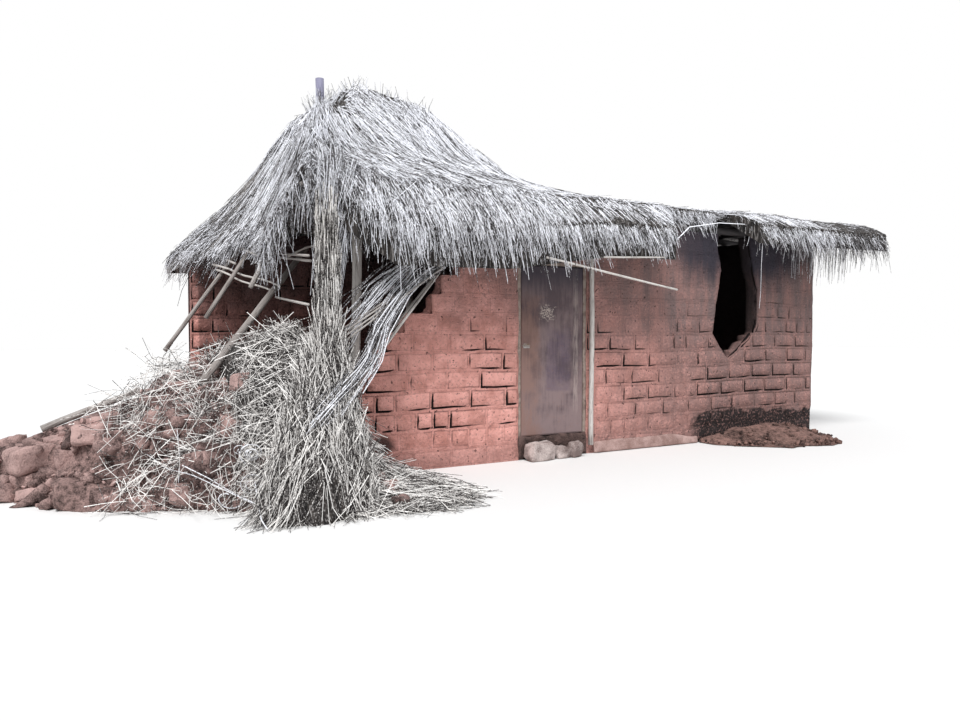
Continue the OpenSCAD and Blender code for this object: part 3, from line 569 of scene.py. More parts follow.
@dataclass(frozen=True)
class MudWall:
    """Sun-dried brick in mud: salmon low down, browner above, soot with painted eave shade along the wall
    tops and most under the torn eave, damp below, and painted shade on the room's inner faces, the window
    jamb and a hole low on the left.

    The places are in metres. Those ending in y2 are squares of the distance from the hut's middle line,
    and those ending in left are distances to the left of its middle.
    """

    name: str = "mud_brick"
    salmon: Rgb = (0.88, 0.44, 0.385)
    red: Rgb = (0.52, 0.23, 0.19)
    dull: Rgb = (0.30, 0.175, 0.155)
    brown: Rgb = (0.27, 0.155, 0.14)
    grey: Rgb = (0.15, 0.115, 0.113)
    crack: Rgb = (0.014, 0.009, 0.009)
    # Soot together with painted shade under the eaves.
    soot_and_shade: Rgb = (0.03, 0.029, 0.042)
    damp: Rgb = (0.03, 0.023, 0.023)
    # Painted shade of the dark room; the window jamb and the hole low on the left take it too.
    inside: Rgb = (0.022, 0.016, 0.016)
    dull_x: tuple[float, float] = (-1.3, 2.2)
    upper_z: tuple[float, float] = (1.25, 2.05)
    foot_z: float = 0.32
    tear_x: tuple[float, float] = (0.9, 3.8)
    soot_and_shade_z: tuple[float, float] = (2.02, 2.5)
    wet_z: float = 0.39
    wet_x: float = 1.45
    room_left: float = 3.68
    room_right: float = 3.67
    room_y2: float = 1.9
    jamb_y2: float = 2.17
    jamb_x: float = 1.6
    jamb_z: float = 0.9
    hole_shadow_left: float = 2.53
    hole_shadow_z: float = 0.27
    face_y: float = 1.3

    def make(self) -> bpy.types.Material:
        """Makes the material."""
        bench = Bench(self.name)
        x, y, z = bench.axes()
        cloud = bench.noise(1.3, 5.0)
        spots = bench.noise(9.0, 6.0)
        grit = bench.noise(38.0, 6.0)
        fine = bench.noise(150.0, 3.0)
        runs = bench.noise(2.2, 4.0, bench.mapped((3.5, 3.5, 0.55)))
        pits = bench.noise(24.0, 2.0)
        map_parts = bench.add("ShaderNodeSeparateXYZ", {}, {0: bench.grain()})
        crack, coat = map_parts[0], map_parts[1]
        colour = bench.mix(bench.tone() * 0.6 + (spots - 0.5) * 2.0 + 0.25, self.red, self.salmon)
        right = (x + (cloud - 0.5) * 2.4).step(*self.dull_x)
        colour = bench.mix(right * 0.9, colour, self.dull)
        upper = (z + (cloud - 0.5) * 1.2 + (x + 0.5).clamped() * 0.25).step(*self.upper_z)
        colour = bench.mix(upper * 0.8, colour, self.brown)
        streaks = (upper * 0.5 + right * 0.6) * (runs - 0.3).step(0.0, 0.35)
        colour = bench.mix(streaks * 0.8, colour, self.grey)
        foot = (self.foot_z - z + (cloud - 0.5) * 0.3).step(0.0, 0.25)
        colour = bench.mix(foot * 0.55, colour, self.brown)
        dusty = (grit * 0.7 + spots * 0.3).step(0.50, 0.64) * (1.0 - upper * 0.6)
        colour = bench.mix(dusty * 0.3, colour, self.salmon)
        colour = bench.mix((0.46 - grit).step(0.0, 0.13) * 0.42, colour, self.grey)
        # Soot and painted eave shade: darker upwards from about 2 m everywhere as painted shade under the
        # eaves, strongest under the torn eave, where soot is painted with the shade.
        under_tear = (x - self.tear_x[0]).step(0.0, 0.7)
        under_tear = under_tear * (self.tear_x[1] - x).step(0.0, 0.8)
        soot_and_eave_shade = (z + (runs - 0.5) * 0.34 + (cloud - 0.5) * 0.3 + under_tear * 0.26).step(*self.soot_and_shade_z)
        colour = bench.mix(soot_and_eave_shade * (0.55 + under_tear * 0.38), colour, self.soot_and_shade)
        wet = (self.wet_z - z + (cloud - 0.5) * 0.25 + (spots - 0.5) * 0.3).step(0.0, 0.07)
        wet = wet * (1.0 - (grit - 0.5).step(0.0, 0.15) * 0.6)
        damp = wet * (x - self.wet_x).step(0.0, 0.2) * (self.face_y - y).step(0.0, 0.5)
        colour = bench.mix(damp, colour, self.damp)
        # Painted shade inside the room: the inner faces of the walls go near black, darker away from the open
        # left end.
        right_wall = (self.room_right - x).step(0.0, 0.03)
        within = (self.room_y2 - y * y).step(0.0, 0.2) * right_wall * (x + self.room_left).step(0.0, 0.03)
        colour = bench.mix(within * (0.5 + (x + 2.4).step(0.0, 1.6) * 0.4), colour, self.inside)
        # Painted shade on the window's right jamb, from knee height up.
        jamb_shade = (self.jamb_y2 - y * y).step(0.0, 0.05) * (x - self.jamb_x).step(0.0, 0.1)
        jamb_shade = jamb_shade * (z - self.jamb_z).step(0.0, 0.6)
        colour = bench.mix(jamb_shade * right_wall * 0.75, colour, self.inside)
        # Painted shadow of a hole low on the left of the front face: a soft dark blotch in the room's shade
        # colour.
        across, over = (x + self.hole_shadow_left) * 6.5, (z - self.hole_shadow_z) * 9.0
        hole_shadow = 1.0 - across * across - over * over
        hole_shadow = (hole_shadow + (spots - 0.5) * 1.2).step(0.0, 0.9) * (-self.face_y - y).step(0.0, 0.1)
        colour = bench.mix(hole_shadow * 0.88, colour, self.inside)
        colour = bench.mix((0.345 - pits + (spots - 0.5) * 0.16).step(0.0, 0.04) * 0.75, colour, self.crack)
        colour = bench.mix(crack.step(0.02, 0.3), colour, self.crack)
        return bench.finish(colour, 0.95, fine * 0.5 + grit + spots * 2.0 + pits, 0.014)


@dataclass(frozen=True)
class Straw:
    """Weathered straw: silvery stalks of many greys, a few still yellow; the darkest stalks are near black as
    painted shade in the gaps between stalks.
    """

    name: str = "straw"
    dark: Rgb = (0.020, 0.017, 0.018)
    grey: Rgb = (0.25, 0.235, 0.235)
    pale: Rgb = (0.92, 0.925, 0.97)

    def make(self) -> bpy.types.Material:
        """Makes the material."""
        bench = Bench(self.name)
        tone = bench.tone()
        length = bench.noise(1.0, 3.0, bench.mapped((105.0, 105.0, 75.0)))
        tone = tone * 0.75 + (length - 0.5) * 2.6 + 0.12
        # The darkest stalks, near black, are painted shade that stands for the shaded gaps between stalks.
        colour = bench.mix(tone.step(0.12, 0.4), self.dark, self.grey)
        colour = bench.mix(tone.step(0.34, 0.66), colour, self.pale)
        return bench.finish(colour, 0.75)


@dataclass(frozen=True)
class StrawBody:
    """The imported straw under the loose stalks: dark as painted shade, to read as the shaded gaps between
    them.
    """

    name: str = "packed_straw"
    dark: Rgb = (0.010, 0.009, 0.009)
    brown: Rgb = (0.05, 0.042, 0.038)
    grey: Rgb = (0.30, 0.28, 0.27)

    def make(self) -> bpy.types.Material:
        """Makes the material."""
        bench = Bench(self.name)
        coarse = bench.noise(30.0, 5.0, bench.mapped((1.0, 0.25, 0.25)))
        streak = bench.noise(1.0, 4.0, bench.mapped((85.0, 85.0, 7.0)))
        # Painted shade: near black and dark brown, so the body reads as the shade between the stalks.
        colour = bench.mix(coarse.step(0.35, 0.7), self.dark, self.brown)
        _, y, _ = bench.axes()
        behind = y.step(0.1, 0.6) * 0.12
        colour = bench.mix((streak + coarse * 0.2 + behind).step(0.62, 0.78), colour, self.grey)
        return bench.finish(colour, 0.9, coarse, 0.02)


@dataclass(frozen=True)
class PoleWood:
    """Weathered poles: grey wood with bark left in patches and cracks along the grain, near black with
    painted shade under the torn eave.
    """

    name: str = "pole_wood"
    bark: Rgb = (0.12, 0.088, 0.075)
    grey: Rgb = (0.27, 0.235, 0.22)
    pale: Rgb = (0.78, 0.74, 0.70)
    violet: Rgb = (0.20, 0.20, 0.33)
    # Painted shade under the torn eave.
    soot_and_shade: Rgb = (0.03, 0.028, 0.032)
    violet_z: tuple[float, float] = (3.78, 3.9)
    eave_shade_from: tuple[float, float] = (1.1, 2.15)

    def make(self) -> bpy.types.Material:
        """Makes the material."""
        bench = Bench(self.name)
        along = bench.mapped((6.0, 14.0, 1.0), bench.grain())
        streak = bench.noise(1.6, 5.0, bench.mapped((3.0, 60.0, 1.0), bench.grain()))
        patch = bench.noise(1.0, 3.0, along)
        x, y, z = bench.axes()
        colour = bench.mix(bench.tone() * 0.95 + (streak - 0.5) * 0.6, self.grey, self.pale)
        colour = bench.mix((patch + streak * 0.3).step(0.64, 0.85) * 0.8, colour, self.bark)
        colour = bench.mix(z.step(*self.violet_z) * 0.8, colour, self.violet)
        # Painted shade under the torn eave: poles right of x 1.1 and above the plate go near black.
        torn = (x - self.eave_shade_from[0]).step(0.0, 0.5) * (z - self.eave_shade_from[1]).step(0.0, 0.1)
        colour = bench.mix(torn * 0.9, colour, self.soot_and_shade)
        return bench.finish(colour, 0.85, streak + patch, 0.004)


@dataclass(frozen=True)
class DoorSheet:
    """Sheet steel with old purple brown paint, worn to primer and rust, with painted shade over its top."""

    name: str = "door_sheet"
    paint: Rgb = (0.095, 0.068, 0.075)
    faded: Rgb = (0.24, 0.175, 0.175)
    rust: Rgb = (0.26, 0.13, 0.085)
    patch: Rgb = (0.10, 0.075, 0.12)
    scrape: Rgb = (0.55, 0.47, 0.42)
    shade: Rgb = (0.035, 0.033, 0.048)
    rust_x: float = -0.66
    rust_z: float = 1.85
    panel_x: tuple[float, float] = (-0.66, -0.29)
    panel_z: tuple[float, float] = (0.69, 1.45)
    ribs_x: tuple[float, float] = (-0.285, -0.205)
    ribs_z: float = 0.4
    smear_x: tuple[float, float] = (-0.74, -0.49)
    smear_z: tuple[float, float] = (1.45, 1.65)
    eave_shade_z: float = 1.62

    def make(self) -> bpy.types.Material:
        """Makes the material."""
        bench = Bench(self.name)
        x, _, z = bench.axes()
        cloud = bench.noise(2.4, 6.0)
        blotch = bench.noise(9.0, 5.0)
        streak = bench.noise(7.0, 5.0, bench.mapped((6.0, 6.0, 0.7)))
        speck = bench.noise(60.0, 4.0)
        wander = (blotch - 0.5) * 0.16
        low = (1.25 - z + (cloud - 0.5) * 0.9).step(0.0, 0.9)
        colour = bench.mix((cloud + streak * 0.4 + low * 0.3).step(0.55, 0.95), self.paint, self.faded)
        left = (self.rust_x - x + wander).step(0.0, 0.14) * (self.rust_z - z + wander).step(0.0, 0.3)
        colour = bench.mix(left * (cloud + streak * 0.4).step(0.45, 0.8) * 0.45, colour, self.rust)
        panel = x.within(self.panel_x, 0.05, wander * 0.3)
        panel = panel * (z - self.panel_z[0] + wander * 0.3).step(0.0, 0.04)
        panel = panel * (self.panel_z[1] - z + wander).step(0.0, 0.2)
        colour = bench.mix(panel * (blotch + cloud * 0.5).step(0.4, 0.95) * 0.5, colour, self.patch)
        ribs = x.within(self.ribs_x, 0.012) * (z - self.ribs_z).step(0.0, 0.2)
        colour = bench.mix(ribs * (streak + blotch * 0.4).step(0.55, 0.85) * 0.3, colour, self.scrape)
        smear = x.within(self.smear_x, 0.06, wander) * z.within(self.smear_z, 0.05, wander)
        colour = bench.mix(smear * (blotch * 0.5 + speck).step(0.72, 0.92), colour, self.scrape)
        colour = bench.mix((speck + blotch * 0.5).step(0.84, 1.0) * 0.5, colour, self.rust)
        # Painted shadow of the eave over the top of the leaf.
        top = (z - self.eave_shade_z + (cloud - 0.5) * 0.4).step(0.0, 0.4)
        colour = bench.mix(top * 0.8, colour, self.shade)
        return bench.finish(colour, 0.6 + cloud * 0.25, speck + streak, 0.002)


@dataclass(frozen=True)
class WornSteel:
    """Bare or primed steel of the frame, the hinges and the bolt."""

    name: str
    clean: Rgb
    worn: Rgb
    metal: float

    def make(self) -> bpy.types.Material:
        """Makes the material."""
        bench = Bench(self.name)
        cloud = bench.noise(14.0, 5.0)
        colour = bench.mix(cloud.step(0.4, 0.65), self.clean, self.worn)
        return bench.finish(colour, 0.5 + cloud * 0.3, cloud, 0.001, self.metal)


@dataclass(frozen=True)
class DryEarth:
    """Earth, mud and clods: matt and dusty."""

    name: str
    dark: Rgb
    light: Rgb
    scale: float = 6.0

    def make(self) -> bpy.types.Material:
        """Makes the material."""
        bench = Bench(self.name)
        cloud = bench.noise(self.scale, 6.0)
        fine = bench.noise(80.0, 4.0)
        shade = bench.tone() * 0.55 + (cloud - 0.5) * 1.3 + (fine - 0.5) * 0.9 + 0.25
        colour = bench.mix(shade.step(0.1, 0.95), self.dark, self.light)
        return bench.finish(colour, 0.97, fine + cloud * 2.0, 0.012)


@dataclass(frozen=True)
class Roof:
    """Form of the roof in metres, worked out from the frame and the roof's own sizes."""

    apex_x: float
    verge_x: float
    right_x: float
    end_run: float
    plate_y: float
    plate_z: float
    apex_z: float = 3.35
    high_run: float = 1.19
    high_drop: float = 0.05
    broken_run: float = 1.21
    knee_z: float = 2.85
    low_ridge_z: float = 2.70
    corner_sag: float = 0.34
    dropped_slope: float = 1.62
    pole_room: float = 0.183
    hip_room: float = 0.06
    curl_f: float = 1.22
    thatch_t: float = 0.09
    ridge_t: float = 0.25
    crown_t: float = 0.35
    fringe: float = 0.54
    low_fringe: float = 0.30
    tear: tuple[float, float] = (0.85, 1.95)
    tear_blend: float = 0.12
    torn_f: float = 1.07
    wear: float = 0.075
    eave_f: float = 2.0 / 1.4
    crown_end: float = 0.8
    crown_over: tuple[float, ...] = (0.05, 1.0, 0.7, 0.25, 0.0)
    crown_side: tuple[float, ...] = (0.75, 0.75, 0.4, 0.2)
    hip_degrees: tuple[float, ...] = (142, 154, 180, 212, 230, 246, 258)
    hip_ends: tuple[float, ...] = (1.28, 1.04, 0.88, 0.74, 0.70, 0.86, 1.12, 1.36)
    worn_x: tuple[float, float] = (-1.3, -0.2)

    @property
    def breaks(self) -> tuple[float, float]:
        """Where the high ridge pole ends and where the low one starts."""
        first = self.apex_x + self.high_run
        return first, first + self.broken_run

    def ridge_z(self, x: Array) -> Array:
        """Height of the ridge pole's centre: high, falling, then low, straight between the breaks."""
        first, second = self.breaks
        fall = (self.knee_z - self.low_ridge_z) / (self.right_x - second)
        end = self.knee_z - fall * (self.verge_x - second)
        return np.interp(x, [self.apex_x, first, second, self.verge_x],
                         [self.apex_z, self.apex_z - self.high_drop, self.knee_z, end])

    def straw_t(self, f: Array, x: Array) -> Array:
        """Thickness of the straw at the share f from ridge to plate."""
        first, second = self.breaks
        last = second + self.crown_end
        over = np.interp(x, (self.apex_x, self.apex_x + 0.4, first, second, last), self.crown_over)
        side = np.interp(x, (self.apex_x, first, second, last), self.crown_side)
        top = self.ridge_t + self.crown_t * over
        shoulder = self.thatch_t + self.crown_t * side
        knots = [(0.0, top), (0.25, shoulder), (0.55, self.thatch_t * 1.3), (0.8, self.thatch_t)]
        result = np.full(np.shape(f), self.thatch_t)
        for (f0, t0), (f1, t1) in zip(knots, knots[1:]):
            inside = (f >= f0) & (f < f1)
            result = np.where(inside, t0 + (t1 - t0) * (f - f0) / (f1 - f0), result)
        return result

    def curl(self, f: Array, x: Array) -> Array:
        """Drop of the straw past the plate, rising from nothing at curl_f by the power 1.3."""
        drop = np.interp(x, self.tear, [self.fringe, self.low_fringe])
        share = np.clip((f - self.curl_f) / (self.eave_f - self.curl_f), 0.0, 1.2)
        return drop * share ** 1.3

    def plate_run(self, angle: Array) -> Array:
        """Distance on plan from the apex to the plates in a direction."""
        return np.minimum(self.end_run / np.maximum(np.abs(np.cos(angle)), 1e-3),
                          self.plate_y / np.maximum(np.abs(np.sin(angle)), 1e-3))

    def hip_slope(self, angle: Array) -> Array:
        """Steepness of the hip in a direction: dropped at the end, sagging at the back corner."""
        corner = math.pi - math.atan2(self.plate_y, self.end_run)
        rise = self.apex_z - self.plate_z
        main = rise / self.plate_y

        def back(a: float) -> float:
            """Steepness over the back plate in the direction a."""
            run = float(self.plate_run(np.array(a)))
            return (rise + self.corner_sag * min(1.0, -run * math.cos(a) / self.end_run)) / run

        rad = math.radians
        knots = [(rad(90), main), (rad(106), back(rad(106))), (corner, back(corner)),
                 (rad(154), self.dropped_slope * 0.85), (rad(180), self.dropped_slope),
                 (rad(212), self.dropped_slope * 0.98)]
        for degrees in (246, 258):
            knots.append((rad(degrees), rise / float(self.plate_run(np.array(rad(degrees))))))
        knots.append((rad(270), main))
        return np.interp(angle, [k[0] for k in knots], [k[1] for k in knots])

    def reach(self, x: Array, y: Array) -> tuple[Array, Array]:
        """Share from ridge to plate at a place, and the share where the straw ends there."""
        angle = np.mod(np.arctan2(y, x - self.apex_x), 2.0 * np.pi)
        hip_f = np.hypot(x - self.apex_x, y) / self.plate_run(angle)
        corner = 180.0 - math.degrees(math.atan2(self.plate_y, self.end_run))
        hip_end = np.interp(np.degrees(angle), (90, corner, *self.hip_degrees, 270),
                            (self.eave_f, *self.hip_ends, self.eave_f))
        t0, t1 = self.tear
        end = np.interp(x, [t0 - self.tear_blend, t0, t1, t1 + self.tear_blend],
                        [self.eave_f, self.torn_f, self.torn_f, self.eave_f])
        end = np.where(y > 0, self.eave_f, end)
        hip = x < self.apex_x
        return np.where(hip, hip_f, np.abs(y) / self.plate_y), np.where(hip, hip_end, end)

    def worn(self, x: Array) -> Array:
        """How far the straw has worn down below the solid's top: nothing by the apex, most on the right."""
        return self.wear * smooth_step(*self.worn_x, x)

    def top(self, x: Array, y: Array) -> Array:
        """Height of the top of the worn straw."""
        return self.solid_top(x, y) - self.worn(x)

    def solid_top(self, x: Array, y: Array) -> Array:
        """Height of the top of the solid: the frame's height plus poles, straw and curl."""
        f, _ = self.reach(x, y)
        ridge = self.ridge_z(np.maximum(x, self.apex_x))
        rise = (ridge - self.plate_z) / self.plate_y
        first, second = self.breaks
        fall = (self.apex_z - self.high_drop - self.knee_z) / (second - first)
        slope_z = ridge + (self.plate_z - ridge) * f + self.pole_room * np.sqrt(1 + rise**2 + fall**2)
        angle = np.mod(np.arctan2(y, x - self.apex_x), 2.0 * np.pi)
        steep = self.hip_slope(angle)
        hip_z = self.apex_z - steep * f * self.plate_run(angle)
        hip_z = hip_z + (self.pole_room - self.hip_room) * 1.2 + self.hip_room * np.sqrt(1.3 + steep**2)
        base = np.where(x < self.apex_x, hip_z, slope_z)
        return base + self.straw_t(f, np.maximum(x, self.apex_x)) - 0.45 * self.curl(f, x)


class RoofSide(Enum):
    """The coats of straw, each with its node."""

    FRONT = "front_thatch"
    BACK = "back_thatch"
    HIP_FRONT = "hip_thatch_front"
    HIP_END = "hip_thatch_end"
    HIP_BACK = "hip_thatch_back"


class StrawLay(Enum):
    """How a lot of stalks lies: over the slope, past the eave, or across the ridge."""

    COVER = "cover"
    FRINGE = "fringe"
    RIDGE = "ridge"


@dataclass
class Thatch:
    """The straw roof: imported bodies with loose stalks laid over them."""

    roof: Roof
    counts: dict[tuple[RoofSide, StrawLay], int] = field(default_factory=lambda: {
        (RoofSide.FRONT, StrawLay.COVER): 16600, (RoofSide.FRONT, StrawLay.FRINGE): 7300,
        (RoofSide.FRONT, StrawLay.RIDGE): 900,
        (RoofSide.BACK, StrawLay.COVER): 6200, (RoofSide.BACK, StrawLay.FRINGE): 1900,
        (RoofSide.HIP_FRONT, StrawLay.COVER): 2000, (RoofSide.HIP_FRONT, StrawLay.FRINGE): 350,
        (RoofSide.HIP_END, StrawLay.COVER): 3400, (RoofSide.HIP_END, StrawLay.FRINGE): 800,
        (RoofSide.HIP_BACK, StrawLay.COVER): 1800, (RoofSide.HIP_BACK, StrawLay.FRINGE): 520})
    stalk: tuple[float, float] = (0.0020, 0.0044)
    tuft_count: int = 320
    wisp_counts: tuple[int, int, int] = (150, 330, 200)
    slid_count: int = 480
    tatter_tries: int = 3000
    tatter_count: int = 620
    pole_room: float = 0.24
    cover_reach: tuple[float, float] = (0.14, 0.46)
    fringe_reach: tuple[float, float] = (0.14, 0.55)
    fringe_x: tuple[float, ...] = (-0.9, -0.2, 0.6, 0.8, 2.3, 2.9)
    fringe_length: tuple[float, ...] = (1.0, 0.75, 0.7, 0.4, 0.4, 0.8)
    fringe_hang: tuple[float, ...] = (1.0, 0.75, 0.6, 0.1, 0.1, 0.6)
    drift_x: tuple[float, ...] = (-1.4, -0.2, 1.0, 4.5)
    drift_degrees: tuple[float, ...] = (2, 10, 24, 34, 44)
    torn_lath: tuple[Point, ...] = (
        (0.26, -1.96, 2.20), (0.61, -1.98, 2.235), (0.925, -2.0, 2.50), (1.5, -1.9, 2.60), (2.14, -1.8, 2.64))

    def starts(self, side: RoofSide, lay: StrawLay, count: int,
               rng: np.random.Generator) -> tuple[Array, Array]:
        """Random places on plan where the stalks of one lot start."""
        roof = self.roof
        share = rng.random(count)
        if lay is StrawLay.FRINGE:
            share = 1.0 - np.where(rng.random(count) < 0.68, 0.12, 0.32) * share
        if side in (RoofSide.FRONT, RoofSide.BACK):
            x = rng.uniform(roof.apex_x, roof.verge_x - 0.02, count)
            if side is RoofSide.FRONT and lay is StrawLay.FRINGE:
                torn_side = rng.choice(np.array(roof.tear) + np.array([-0.5, 0.5]) * roof.tear_blend, count)
                x = np.where(rng.random(count) < 0.16, torn_side + rng.uniform(-0.3, 0.3, count), x)
            if lay is StrawLay.RIDGE:
                x = roof.apex_x + (x - roof.apex_x) * rng.random(count)
                return x, rng.uniform(-0.3, 0.3, count)
            sign = -1.0 if side is RoofSide.FRONT else 1.0
            _, end = roof.reach(x, np.full(count, sign))
            power = 1.0 if lay is StrawLay.FRINGE else 0.9
            return x, sign * end * share ** power * roof.plate_y
        corner = math.degrees(math.atan2(roof.plate_y, roof.end_run))
        low, high = {RoofSide.HIP_BACK: (90.0, 180.0 - corner),
                     RoofSide.HIP_END: (180.0 - corner, 180.0 + corner),
                     RoofSide.HIP_FRONT: (180.0 + corner, 270.0)}[side]
        angle = np.radians(rng.uniform(low, high, count))
        unit_x, unit_y = np.cos(angle), np.sin(angle)
        _, end = roof.reach(roof.apex_x + unit_x * 0.5, unit_y * 0.5)
        power = 1.0 if lay is StrawLay.FRINGE else 0.55
        run = roof.plate_run(angle) * end * share ** power
        return roof.apex_x + unit_x * run, unit_y * run

    def headings(self, x: Array, y: Array, lay: StrawLay, rng: np.random.Generator) -> Array:
        """Directions on plan: out from the apex near it, and drifting to the right further along."""
        roof = self.roof
        radial = np.arctan2(y, x - roof.apex_x)
        drift = np.radians(np.interp(x, (roof.apex_x, *self.drift_x), self.drift_degrees))
        straight = np.where(y > 0, 0.5 * np.pi - drift, -0.5 * np.pi + drift)
        blend = np.clip((x - roof.apex_x) / 0.9, 0.0, 1.0)
        way = radial * (1.0 - blend) + straight * blend
        if lay is StrawLay.RIDGE:
            way = np.where(rng.random(len(x)) < 0.5, 1.0, -1.0) * rng.normal(1.1, 0.35, len(x))
        stray = rng.random(len(x)) < 0.12
        return way + rng.normal(0.0, 0.24, len(x)) + stray * rng.normal(0.0, 0.8, len(x))

    def paths(self, side: RoofSide, lay: StrawLay, count: int, rng: np.random.Generator) -> Array:
        """Paths of the stalks.

        A stalk keeps to the straw's top, raised by smooth noise, until it passes the eave or the
        verge. From there it falls, by the length past the edge times its own share.
        """
        roof = self.roof
        rings = 3 if lay is StrawLay.FRINGE else 2
        x, y = self.starts(side, lay, count, rng)
        way = self.headings(x, y, lay, rng)
        length = rng.uniform(*(self.fringe_reach if lay is StrawLay.FRINGE else self.cover_reach), count)
        if side is RoofSide.FRONT and lay is StrawLay.FRINGE:
            length *= np.interp(x, self.fringe_x, self.fringe_length)
        dx, dy = np.cos(way) * length, np.sin(way) * length
        f0, end0 = roof.reach(x, y)
        f1, end1 = roof.reach(x + dx, y + dy)
        u0, u1 = f0 / end0, f1 / end1
        edge = np.clip((1.0 - u0) / np.where(np.abs(u1 - u0) < 1e-6, 1e-6, u1 - u0), 0.0, 1.0)
        edge = np.where(u1 <= 1.0, 1.0, edge)
        edge = np.minimum(edge, np.clip((roof.verge_x - x) / np.maximum(dx, 1e-6), 0.0, 1.0))
        share = np.linspace(0.0, 1.0, rings)[None, :]
        on = np.minimum(share, edge[:, None])
        past = np.maximum(share - edge[:, None], 0.0)
        px = x[:, None] + dx[:, None] * (on + 0.22 * past)
        py = y[:, None] + dy[:, None] * (on + 0.22 * past)
        sx, sy = x[:, None] + dx[:, None] * on, y[:, None] + dy[:, None] * on
        place = np.stack([sx, sy, np.zeros_like(sx)], axis=-1).reshape(-1, 3)
        lumps = 0.018 * lattice_noise(place, 0.42, 31) + 0.010 * lattice_noise(place, 0.13, 32)
        level = roof.top(sx, sy) + lumps.reshape(sx.shape)
        fluff = np.interp(x, [-2.0, -0.5], [1.0, 0.55])[:, None]
        loose = rng.uniform(-0.026, 0.012, count)[:, None]
        loose = loose + rng.normal(0.008, 0.022, count)[:, None] * share * fluff
        if lay is StrawLay.FRINGE:
            hang = np.interp(x, self.fringe_x, self.fringe_hang)
            loose = loose - 0.25 * (hang * rng.random(count) ** 1.3 * smooth_step(0.92, 0.99, u0))[:, None]
        drop = np.where(x < roof.apex_x - 0.25, rng.uniform(0.15, 0.75, count), rng.uniform(0.5, 1.0, count))
        sag = past * length[:, None] * drop[:, None]
        wave = 0.014 * np.sin(share * 5.0 + rng.uniform(0, 6.3, count)[:, None])
        return np.stack([px + wave, py, level + loose - sag], axis=-1)

    def tufts(self, rng: np.random.Generator) -> Array:
        """Loose stalks standing up from the crest beside the apex."""
        count = self.tuft_count
        x = self.roof.apex_x - 0.1 + 1.4 * rng.random(count) ** 2
        y = rng.normal(-0.08, 0.14, count)
        start = np.stack([x, y, self.roof.top(x, y) - 0.04], axis=-1)
        rise = unit(np.stack([rng.normal(0.1, 0.5, count), rng.normal(0, 0.4, count), np.ones(count)], -1))
        length = rng.uniform(0.06, 0.2, count)[:, None]
        return np.stack([start, start + rise * length * 0.5, start + rise * length], axis=1)

    def wisps(self, rng: np.random.Generator) -> Array:
        """Long crooked strands hanging from the torn eave and the right corner."""
        torn, corner, verge = self.wisp_counts
        count = 1 + torn + corner + verge
        x = np.concatenate([[2.16], rng.uniform(0.5, 3.4, torn), rng.uniform(3.1, self.roof.verge_x, corner),
                            self.roof.verge_x + rng.uniform(-0.05, 0.01, verge)])
        length = np.concatenate([[0.86], rng.uniform(0.05, 0.34, torn), rng.uniform(0.15, 0.66, corner),
                                 rng.uniform(0.05, 0.3, verge)])
        length = length * np.where(x > 4.1, 0.7, 1.0)
        f, end = self.roof.reach(x, np.full(count, -1.0))
        y = -end * self.roof.plate_y + rng.uniform(0.0, 0.12, count)
        y[1 + torn:-verge] += rng.random(corner) * 0.35
        y[-verge:] += rng.random(verge) * 1.9
        top = self.roof.top(x, y) - 0.05 - rng.random(count) * 0.09
        share = np.linspace(0.0, 1.0, 6)[None, :]
        swing = 0.03 * np.sin(share * 7.0 + rng.uniform(0, 6.3, count)[:, None]) * share
        return np.stack([x[:, None] + swing - 0.05 * share, y[:, None] + 0.5 * swing,
                         top[:, None] - share * length[:, None]], axis=-1)

    def slide(self, rng: np.random.Generator) -> Array:
        """Long stalks sliding off the front left corner, from the straw above down to the hanging straw."""
        count = self.slid_count
        x = self.roof.apex_x + rng.uniform(-0.5, -0.06, count)
        y = rng.uniform(-1.5, -0.7, count)
        start = np.stack([x, y, self.roof.top(x, y) + rng.uniform(-0.04, 0.03, count)], axis=-1)
        end = np.stack([-3.19 + 0.2 * (x - self.roof.apex_x + 0.28) + rng.normal(0.0, 0.04, count),
                        -1.93 + rng.normal(0.0, 0.05, count), rng.uniform(1.5, 2.35, count)], axis=-1)
        cut = rng.uniform(0.0, 0.6, count)[:, None]
        rows = []
        for share in np.linspace(0.0, 1.0, 5):
            s = cut + (1.0 - cut) * share * rng.uniform(0.75, 1.0, (count, 1)) ** 0.2
            rows.append(start + (end - start) * s + np.array([0.0, -0.1, 0.16]) * np.sin(np.pi * s))
        return np.stack(rows, axis=1)

    def tatters(self, rng: np.random.Generator) -> Array:
        """Strands hanging from the torn edge of the straw over the fallen corner."""
        count = self.tatter_tries
        x = self.roof.apex_x + rng.uniform(-0.95, 0.35, count)
        y = rng.uniform(-1.9, -0.3, count)
        f, end = self.roof.reach(x, y)
        torn = (f / end > 0.84) & (f / end < 1.04)
        x, y = x[torn][:self.tatter_count], y[torn][:self.tatter_count]
        count = len(x)
        top = self.roof.top(x, y) - rng.uniform(0.02, 0.16, count)
        length = rng.uniform(0.15, 0.55, count)[:, None]
        share = np.linspace(0.0, 1.0, 4)[None]
        lean = rng.normal(0.0, 0.13, (count, 1))
        swing = 0.02 * np.sin(share * 6.0 + rng.uniform(0, 6.3, (count, 1)))
        paths = np.stack([x[:, None] + lean * share * length + swing, y[:, None] - 0.12 * share * length,
                          top[:, None] - share * length], axis=-1)
        return paths[off_pole(paths, longest_fallen_pole(), self.pole_room)]

